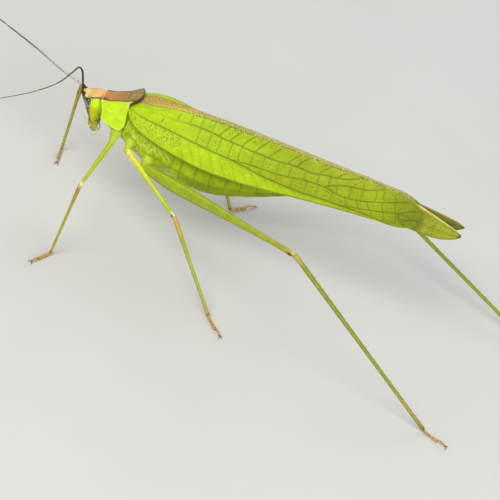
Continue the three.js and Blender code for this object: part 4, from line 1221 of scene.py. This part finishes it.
def wingFinish():
    material, tree, shader = newMaterial("forewingMembrane", Specular_IOR_Level=0.26, Coat_Weight=0.04,
                                         Coat_Roughness=0.45)
    along, height, strip, veins, field, cluster, slitZone, border, twigs, costalField = (
        attribute(tree, mask) for mask in (*maskNames, *wingMasks))
    plane = tree.nodes.new("ShaderNodeCombineXYZ")
    feed(times(along, wingLength), plane.inputs["X"])
    feed(height, plane.inputs["Y"])

    def texture(kind, scale, stretch=(1, 1, 1), turn=0.0, shift=0.0):
        node = tree.nodes.new(kind)
        if kind == "ShaderNodeTexVoronoi":
            node.voronoi_dimensions = "2D"
        node.inputs["Scale"].default_value = scale
        lay = tree.nodes.new("ShaderNodeMapping")
        lay.vector_type = "TEXTURE"
        lay.inputs["Location"].default_value = (shift, shift * 0.7, 0)
        lay.inputs["Rotation"].default_value = (0, 0, turn)
        lay.inputs["Scale"].default_value = stretch
        feed(plane.outputs["Vector"], lay.inputs["Vector"])
        feed(lay.outputs["Vector"], node.inputs["Vector"])
        return node

    # an even distance from a vein turns into a thin line with soft edges
    def line(distance, width):
        return minus(1, fade(distance, 0.04, width))

    color = ramp(along, [(0.1, wing["lime"]), (0.32, wing["green"]), (0.6, wing["olive"]),
                         (0.84, wing["olive"]), (1, wing["end"])])
    costal = ramp(along, [(0.3, wing["lime"]), (0.62, wing["green"]), (1, wing["olive"])])
    color = mixColor(costalField, color, costal)
    cloud = texture("ShaderNodeTexNoise", 0.7)
    color = mixColor(times(fade(cloud.outputs["Fac"], 0.35, 0.7), 0.16), color, wing["end"])
    # a faint pale net of the finest veins
    net = texture("ShaderNodeTexVoronoi", 3.1)
    net.feature = "DISTANCE_TO_EDGE"
    netLine = minus(1, fade(net.outputs["Distance"], 0.0, 0.12))
    color = mixColor(times(netLine, 0.13), color, wing["net"])
    # dark dots gather in the open middle of each cell, and pepper the front field evenly
    speck = texture("ShaderNodeTexVoronoi", 6.2)
    crowd = texture("ShaderNodeTexNoise", 0.85, shift=5)
    wanted = times(cluster, fade(crowd.outputs["Fac"], 0.34, 0.6))
    dots = under(speck.outputs["Distance"], times(wanted, 0.21))
    bold = texture("ShaderNodeTexVoronoi", 2.3, shift=11)
    big = under(bold.outputs["Distance"], times(wanted, 0.14))
    dots = larger(dots, big)
    fine = texture("ShaderNodeTexVoronoi", 3.6, shift=3)
    evenly = times(slitZone, -1)
    pores = under(fine.outputs["Distance"], times(evenly, 0.12))
    color = mixColor(times(pores, 0.5), color, wing["pit"])
    color = mixColor(times(dots, 0.7), color, wing["dot"])
    # long slanting pits near the root of the front field
    pits = texture("ShaderNodeTexVoronoi", 4.5, stretch=(1.9, 0.5, 1), turn=0.72)
    kept = fade(pits.outputs["Color"], 0.2, 0.62)
    slits = under(pits.outputs["Distance"], times(times(slitZone, 0.29), kept))
    color = mixColor(times(slits, 0.66), color, wing["pit"])
    wrinkle = times(fade(pits.outputs["Distance"], 0.3, 0.6), larger(slitZone, 0))
    color = mixColor(times(wrinkle, 0.3), color, wing["cream"])
    veinLine = larger(line(veins, 0.085), times(line(twigs, 0.076), 0.72))
    halo = times(line(smaller(veins, twigs), 0.3), 0.18)
    veinTone = ramp(along, [(0.05, wing["rootVein"]), (0.4, wing["vein"])])
    color = mixColor(larger(halo, times(veinLine, 0.68)), color, veinTone)
    # tan strip over the back: fine pale grains on a dark net, pinker by the seam near the root, yellower
    # beside it
    pepper = texture("ShaderNodeTexVoronoi", 9.5)
    tan = mixColor(fade(times(field, -1), 0, 0.8), wing["tan"], wing["yellow"])
    tan = mixColor(fade(field, 0, 0.8), tan, wing["pink"])
    grains = minus(1, fade(pepper.outputs["Distance"], 0.24, 0.56))
    grains = times(grains, minus(1.05, times(along, 0.3)))
    deep = plus(times(fade(crowd.outputs["Fac"], 0.3, 0.7), 0.12), plus(0.54, times(field, 0.08)))
    tan = mixColor(times(grains, deep), tan, wing["umber"])
    color = mixColor(strip, color, tan)
    # the strip ends in a row of dark dots over a pale line; a brown line runs along the free edge
    row = texture("ShaderNodeTexVoronoi", 6.0, stretch=(1.2, 1, 1), shift=7)
    beads = minus(0.85, fade(row.outputs["Distance"], 0.22, 0.48))
    beads = larger(beads, fade(times(border, -1), 1.1, 1.4))
    brown = fade(times(border, -1), 0.25, 0.6)
    color = mixColor(times(fade(border, 0.3, 0.7), 0.7), color, wing["cream"])
    color = mixColor(times(brown, beads), color, wing["seam"])
    color = mixColor(times(fade(costalField, 1.15, 1.6), 0.8), color, wing["rim"])
    color = useGroup(tree, mottle, Color=color, Patches=0.1, Flecks=0.1, Size=650)
    feed(color, shader.inputs["Base Color"])
    feed(fade(cloud.outputs["Fac"], -0.9, 1.6), shader.inputs["Roughness"])
    glow = tree.nodes.new("ShaderNodeBsdfTranslucent")
    feed(color, glow.inputs["Color"])
    blend = tree.nodes.new("ShaderNodeMixShader")
    blend.inputs["Fac"].default_value = 0.12
    feed(shader.outputs["BSDF"], blend.inputs[1])
    feed(glow.outputs["BSDF"], blend.inputs[2])
    feed(blend.outputs["Shader"], tree.nodes["Material Output"].inputs["Surface"])
    relief = plus(times(netLine, 0.14), times(veinLine, 0.7))
    relief = minus(relief, times(plus(larger(dots, pores), slits), 0.6))
    relief = plus(relief, times(times(grains, strip), -0.6))
    addBump(relief, 0.6, 0.00006, shader, glow)
    return material


def flankHeight(x):
    return float(wingTop(x) - 0.15 - shoulderDrop(x) - wingFoot(x) - 0.05)


forewingFinish = wingFinish()
for side, sign in (("left", -1), ("right", 1)):
    dice = random.Random(7)
    columns, (backRows, edgeRows, flankRows) = wing["columns"], wing["rows"]
    rows = backRows + edgeRows + flankRows
    bm = newMesh()
    for key in wingMasks:
        bm.verts.layers.float.new(key)
    bmesh.ops.create_grid(bm, x_segments=columns, y_segments=rows, size=0.5)
    mesh = toMesh(f"forewing_{side}", bm)
    flat = meshPoints(mesh)
    column = np.rint((flat[:, 0] + 0.5) * columns).astype(int)
    row = np.rint((flat[:, 1] + 0.5) * rows)
    # columns crowd together near the rounded tip
    stations = [lerp(wing["root"], wing["tip"], 1 - (1 - k / columns) ** 1.12) for k in range(columns + 1)]

    def spread(read):
        return np.array([float(read(s)) for s in stations])[column]
    x = np.array(stations)[column]
    top, foot = spread(wingTop), spread(wingFoot) + 0.02
    seamY = sign * (-0.1 if sign < 0 else 0.03)
    seamZ = top + spread(backCrown) - (0.07 if sign > 0 else 0)
    brown = spread(brownHalf) * (1.04 if sign > 0 else 1)
    brownZ = top - 0.1
    shoulderY = sign * (spread(dorsalHalf) * (1.14 if sign > 0 else 1) + 0.2)
    shoulderZ = top - 0.15 - spread(shoulderDrop)
    footY = sign * (spread(flankOut) + 0.15)
    td = np.clip(row / backRows, 0, 1)
    te = np.clip((row - backRows) / edgeRows, 0, 1)
    tf = np.clip((row - backRows - edgeRows) / flankRows, 0, 1)
    onBack = row < backRows
    bow = np.array([smooth(s, -1, 4) * (1 - smooth(s, 24, 31)) for s in stations])[column]
    edgeY = sign * brown + (shoulderY - sign * brown) * te ** 0.8
    y = np.where(onBack, seamY + (sign * brown - seamY) * td, edgeY)
    z = np.where(onBack, seamZ + (brownZ - seamZ) * td ** 2, brownZ + (shoulderZ - brownZ) * te ** 1.25)
    below = tf > 0
    y = np.where(below, shoulderY + (footY - shoulderY) * tf + sign * 0.22 * np.sin(np.pi * tf) * bow, y)
    z = np.where(below, shoulderZ + (foot - shoulderZ) * tf, z)
    high = shoulderZ - foot
    # the root slants back from under the pronotum to the free edge
    x = x + 0.55 * np.clip(tf, 0, 1) ** 1.5 * np.clip(1 - (x - wing["root"]) / 4, 0, 1) ** 2
    edgeLength = np.hypot(shoulderY - sign * brown, shoulderZ - brownZ)
    # the way down the sheet: 0 at the shoulder, growing towards the free edge
    h = np.where(below, tf * high, -(1 - te) * edgeLength)
    h = np.where(onBack, -edgeLength - (1 - td) * brown, h)
    # the tip is rounded off: the upper corner is drawn back, the lower one is a quarter of an oval
    soft = wing["cornerSoft"]
    share = np.clip((h + edgeLength) / (high + edgeLength), 0, 0.5)
    cornerLong, cornerTall = wing["corner"]
    out = np.clip((x - wing["tip"]) / cornerLong + 1, 0, 1) * below
    down = np.clip((h - high) / cornerTall + 1, 0, 1) * below
    raised = cornerTall * down * (1 - np.sqrt(1 - out ** 2 / soft))
    nearTip = np.clip((x - wing["upperStart"]) / (wing["tip"] - wing["upperStart"]), 0, 1)
    x = x - wing["upperCorner"] * (1 - 2 * share) ** 3 * nearTip ** 3
    x = x - cornerLong * out * (1 - np.sqrt(1 - down ** 2 / soft))
    z, h = z + raised, h - raised

    # masks and relief in the plane of the wing
    plane = np.column_stack([x, h])
    readers = {name: profile(*spots) for name, spots in longVeins.items()}
    lines = {name: smoothLine(name, read) for name, read in readers.items()}
    readers.update(stripFoot=lambda s: -0.14, costa=lambda s: 1.0)
    twigs = []
    for upper, lower, *run in crossRuns:
        twigs += crossVeins(readers[upper], readers[lower], *run, dice)
    faint = crossVeins(readers["radius"], readers["costa"], 5.0, 29.0, 1.15, 1.6, 0.3, dice)
    branches = []
    for s in branchStarts:
        start = float(readers["media"](s))
        branches.append([(s + along, start - up) for along, up in branchSteps])
    strong = veinDistance(plane, [lines["radius"]], flankHeight) + 0.05 * (1 - gate(x, -0.4, 2.0))
    others = [lines[name] for name in lines if name != "radius"]
    main = veinDistance(plane, others + branches, flankHeight)
    main += 0.1 * (1 - gate(x, 1.6, 7.0))
    slim = veinDistance(plane, twigs, flankHeight)
    veiled = veinDistance(plane, faint, flankHeight)
    nearest = np.minimum(np.minimum(strong, main), slim)

    strip = np.where(onBack, 1.0, 1 - gate(te, 0.0, 0.14)) * ~below
    border = 0.95 * np.exp(-((h + edgeLength - 0.07) / 0.04) ** 2) * (1 - gate(x, 3.4, 5.5))
    border -= 0.95 * np.exp(-((h + edgeLength + 0.02) / 0.08) ** 2) * gate(x, 0.6, 1.6)
    costal = (1 - tf) * high
    border += below * 0.8 * np.exp(-(costal / 0.05) ** 2) * gate(x, 6, 14) * (1 - gate(x, 28, 30.5))
    radiusLine = np.array([float(readers["radius"](s)) for s in stations])[column]
    lowField = below & (tf > radiusLine + 0.02)
    middle = gate(nearest, 0.14, 0.36)
    cluster = middle * np.where(lowField, 0.25 * gate(x, 8, 12) * (1 - gate(x, 17, 23)), gate(x, 4.5, 9))
    cluster = cluster * (1 - gate(x, 29.8, 30.8)) * ~onBack
    # one bold slanting slit near the root
    slitMiddle = 0.2 * high
    slitAcross = (x - 2.98 - 0.45 * (slitMiddle - h)) / 0.08
    border -= below * 1.9 * np.exp(-np.hypot(slitAcross, (h - slitMiddle) / 0.19) ** 4)
    slits = lowField * gate(x, -0.5, 0.3) * (1 - gate(x, 5.5, 9.0)) * (1 - gate(tf, 0.8, 0.92))
    slits = slits - lowField * gate(x, 5.0, 8.0) * (1 - gate(x, 20, 27)) * (1 - gate(tf, 0.9, 0.98))
    pinkShare = 0.62 if sign < 0 else 1.2
    pink, yellow = 1 - gate(td, pinkShare - 0.14, pinkShare), gate(td, pinkShare, pinkShare + 0.14)
    field = onBack * (1 - gate(x, 4.0, 7.5)) * np.where(td < pinkShare, pink, -yellow * gate(x, 0.4, 1.6))

    lift = np.maximum.reduce([0.035 * np.exp(-(strong / 0.07) ** 2), 0.035 * np.exp(-(main / 0.08) ** 2),
                              0.022 * np.exp(-(slim / 0.08) ** 2)])
    lift += (0.03 * np.where(lowField, 0, gate(nearest, 0.1, 0.6))
             + 0.03 * np.exp(-(costal / 0.08) ** 2) * below)
    lift *= ~onBack
    place = np.column_stack([x, y + sign * lift, z + 0.2 * lift])
    c, s = math.cos(trunk["lean"]), math.sin(trunk["lean"])
    rise = place[:, 2] - trunk["height"]
    world = np.column_stack([place[:, 0], place[:, 1] * c + rise * s,
                             trunk["height"] + rise * c - place[:, 1] * s]) * mm
    world += np.array(trunkOrigin)
    mesh.vertices.foreach_set("co", world.ravel())
    strong, main, slim, veiled = (np.hypot(away, 0.022) for away in (strong, main, slim, veiled))
    thin = np.minimum(slim, veiled + 0.062)
    costalField = lowField * gate(tf - radiusLine, 0.02, 0.12)
    costalField = costalField + below * np.exp(-((costal - 0.07) / 0.06) ** 2)
    painted = {"along": (x - wing["root"]) / wingLength, "around": h, "markA": strip,
               "markB": np.minimum(np.minimum(strong - 0.01, main) + onBack, 1), "markC": field,
               "markD": np.clip(cluster, 0, 1.6), "markE": slits, "markF": border,
               "markG": np.minimum(thin + onBack, 1), "markH": costalField}
    for key, values in painted.items():
        mesh.attributes[key].data.foreach_set("value", np.asarray(values, dtype=np.float32))
    mesh.update()
    piece = dress(f"forewing_{side}", mesh, forewingFinish, [f"tegmen_{side}"])
    probe = mesh.polygons[len(mesh.polygons) // 2]
    if probe.normal.y * sign < 0:
        mesh.flip_normals()
    thicken(piece, wing["thick"], -1)
print("forewings done")

# the folded hind wings: two pointed fans, one behind the other, that show past the forewing tips
fanTop = profile((7, 14.3), (13, 14.4), (22, 14.6), (28, 15.3), (31.0, 16.0), (32.9, 15.76), (35.2, 15.2),
                 (36.5, 14.85), (37, 14.6))
farFanTop = profile((7, 14.3), (13, 14.4), (22, 14.6), (28, 15.2), (31.0, 15.72), (33, 15.64), (35.3, 15.5),
                    (36.3, 15.36), (37, 15.12))
fanFoot = profile((7, 13), (13, 12.95), (22, 13), (28, 12.8), (32.6, 12.95), (34.8, 13.15), (36.3, 13.75),
                  (37, 14.3))
fanLook = {"sheet": (0.30, 0.33, 0.012), "rib": (0.17, 0.185, 0.012), "edge": (0.66, 0.56, 0.22),
           "tip": (0.05, 0.04, 0.015), "shade": (0.13, 0.12, 0.008), "pleats": 2.5, "bays": 7,
           "start": 7, "end": 37, "thick": 0.08}
fanFinish = cuticle("hindWingFan", [(0, fanLook["sheet"]), (0.965, fanLook["sheet"]), (1, fanLook["tip"])],
                    marks=(("markE", fanLook["shade"]), ("markB", fanLook["rib"]),
                           ("markC", fanLook["rib"]), ("markA", fanLook["edge"]), ("markD", fanLook["tip"])),
                    patches=0.2, flecks=0.2, size=1200, roughness=0.5)
for side, sign in (("left", -1), ("right", 1)):
    dice = random.Random(11)
    bm = newMesh()
    made = bmesh.ops.create_grid(bm, x_segments=340, y_segments=72, size=0.5)
    rungs = sorted(dice.uniform(28, 37) for _ in range(26))
    near = sign < 0
    for vert in made["verts"]:
        u, v = vert.co.x + 0.5, vert.co.y + 0.5
        x = lerp(fanLook["start"], fanLook["end"], 1 - (1 - u) ** 1.15)
        pleat = math.sin((v * fanLook["pleats"] + 0.1) * 2 * math.pi)
        share = v * fanLook["bays"] + 0.25 * math.sin(x * 1.3)
        bay = int(share)
        slant = 1.1 * v * (1 if bay % 2 else -1)
        rung = max((bell(x + slant, spot, 0.06) for spot in rungs[bay % 3::3]), default=0)
        rib = max(bell(share, k, 0.07) for k in range(1, fanLook["bays"]))
        paint(bm, vert, {"along": u, "markB": 0.6 * rib, "markC": 0.5 * rung * (v > 0.16),
                         "markA": (0.95 if near else 0.35) * bell(v, 0.02, 0.045) * smooth(x, 31, 32),
                         "markD": 0.5 * bell(v, 1.0, 0.02), "markE": 0.0 if near else 0.8})
        if near:
            z = lerp(fanTop(x), fanFoot(x), v)
        else:
            z = lerp(farFanTop(x), fanFoot(x) + 0.7 * smooth(x, 34, 36.8), v)
        out = 0.26 + (0.24 if near else 0.16) * smooth(x, 30, 33) + 0.06 * v + 0.04 * pleat
        vert.co = stand(x, sign * out, z)
    piece = dress(f"hindWing_{side}", toMesh(f"hindWing_{side}", bm), fanFinish,
                  [f"hind_wing_{side}"])
    thicken(piece, fanLook["thick"], 0)
print("hind wings done")

# floor, lights and camera
studio = {
    "floor": [(0.3, (0.60, 0.60, 0.585)), (0.7, (0.618, 0.618, 0.60255))],
    "world": (1.0, 1.0, 1.0, 1.0), "worldStrength": 0.42, "middle": (0.0, 0.0, 0.01),
    # place, size, power and tint of each light
    "lights": {"keyLight": ((-0.10, -0.16, 0.30), 0.22, 0.8, (1.0, 0.98, 0.93)),
               "fillLight": ((0.22, -0.20, 0.16), 0.25, 0.48, (0.95, 0.98, 1.0)),
               "rimLight": ((0.05, 0.26, 0.22), 0.2, 0.24, (1.0, 1.0, 1.0))},
}
bpy.ops.mesh.primitive_plane_add(size=4)
floor = bpy.context.object
floor.name = "studioFloor"
floorFinish, tree, paper = newMaterial("paperFloor", Roughness=0.9)
fibre = objectTexture(tree, "ShaderNodeTexNoise", Scale=60, Detail=3)
feed(ramp(fibre.outputs["Fac"], studio["floor"]), paper.inputs["Base Color"])
floor.data.materials.append(floorFinish)

world = bpy.context.scene.world or bpy.data.worlds.new("studioWorld")
bpy.context.scene.world = world
world.use_nodes = True
backdrop = world.node_tree.nodes["Background"]
backdrop.inputs["Color"].default_value = studio["world"]
backdrop.inputs["Strength"].default_value = studio["worldStrength"]
for name, (place, size, power, tint) in studio["lights"].items():
    lamp = bpy.data.lights.new(name, "AREA")
    lamp.shape = "DISK"
    lamp.size = size
    lamp.energy = power
    lamp.color = tint
    holder = bpy.data.objects.new(name, lamp)
    bpy.context.scene.collection.objects.link(holder)
    holder.location = place
    facing = Vector(studio["middle"]) - Vector(place)
    holder.rotation_euler = facing.to_track_quat("-Z", "Y").to_euler()

# angles in degrees, aim and distance in mm
cameraLook = {"azimuth": 3.03, "elevation": 39.25, "roll": 20.74, "aim": (12.32, 11.08, 0),
              "distance": 357.97, "lens": 234.36}
az, el, roll = (math.radians(cameraLook[key]) for key in ("azimuth", "elevation", "roll"))
back = Vector((math.sin(az) * math.cos(el), -math.cos(az) * math.cos(el), math.sin(el)))
levelRight = Vector((math.cos(az), math.sin(az), 0))
levelUp = back.cross(levelRight)
right = levelRight * math.cos(roll) + levelUp * math.sin(roll)
up = back.cross(right)
lensHolder = bpy.data.cameras.new("longLens")
lensHolder.lens = cameraLook["lens"]
lensHolder.sensor_width = 36
lensHolder.clip_start = 0.01
lensHolder.clip_end = 20
camera = bpy.data.objects.new("longLens", lensHolder)
bpy.context.scene.collection.objects.link(camera)
turned = Matrix((right, up, back)).transposed().to_4x4()
standpoint = Vector(cameraLook["aim"]) * mm + back * cameraLook["distance"] * mm
camera.matrix_world = Matrix.Translation(standpoint) @ turned
bpy.context.scene.camera = camera
bpy.context.scene.view_settings.view_transform = "Standard"
print("studio done")
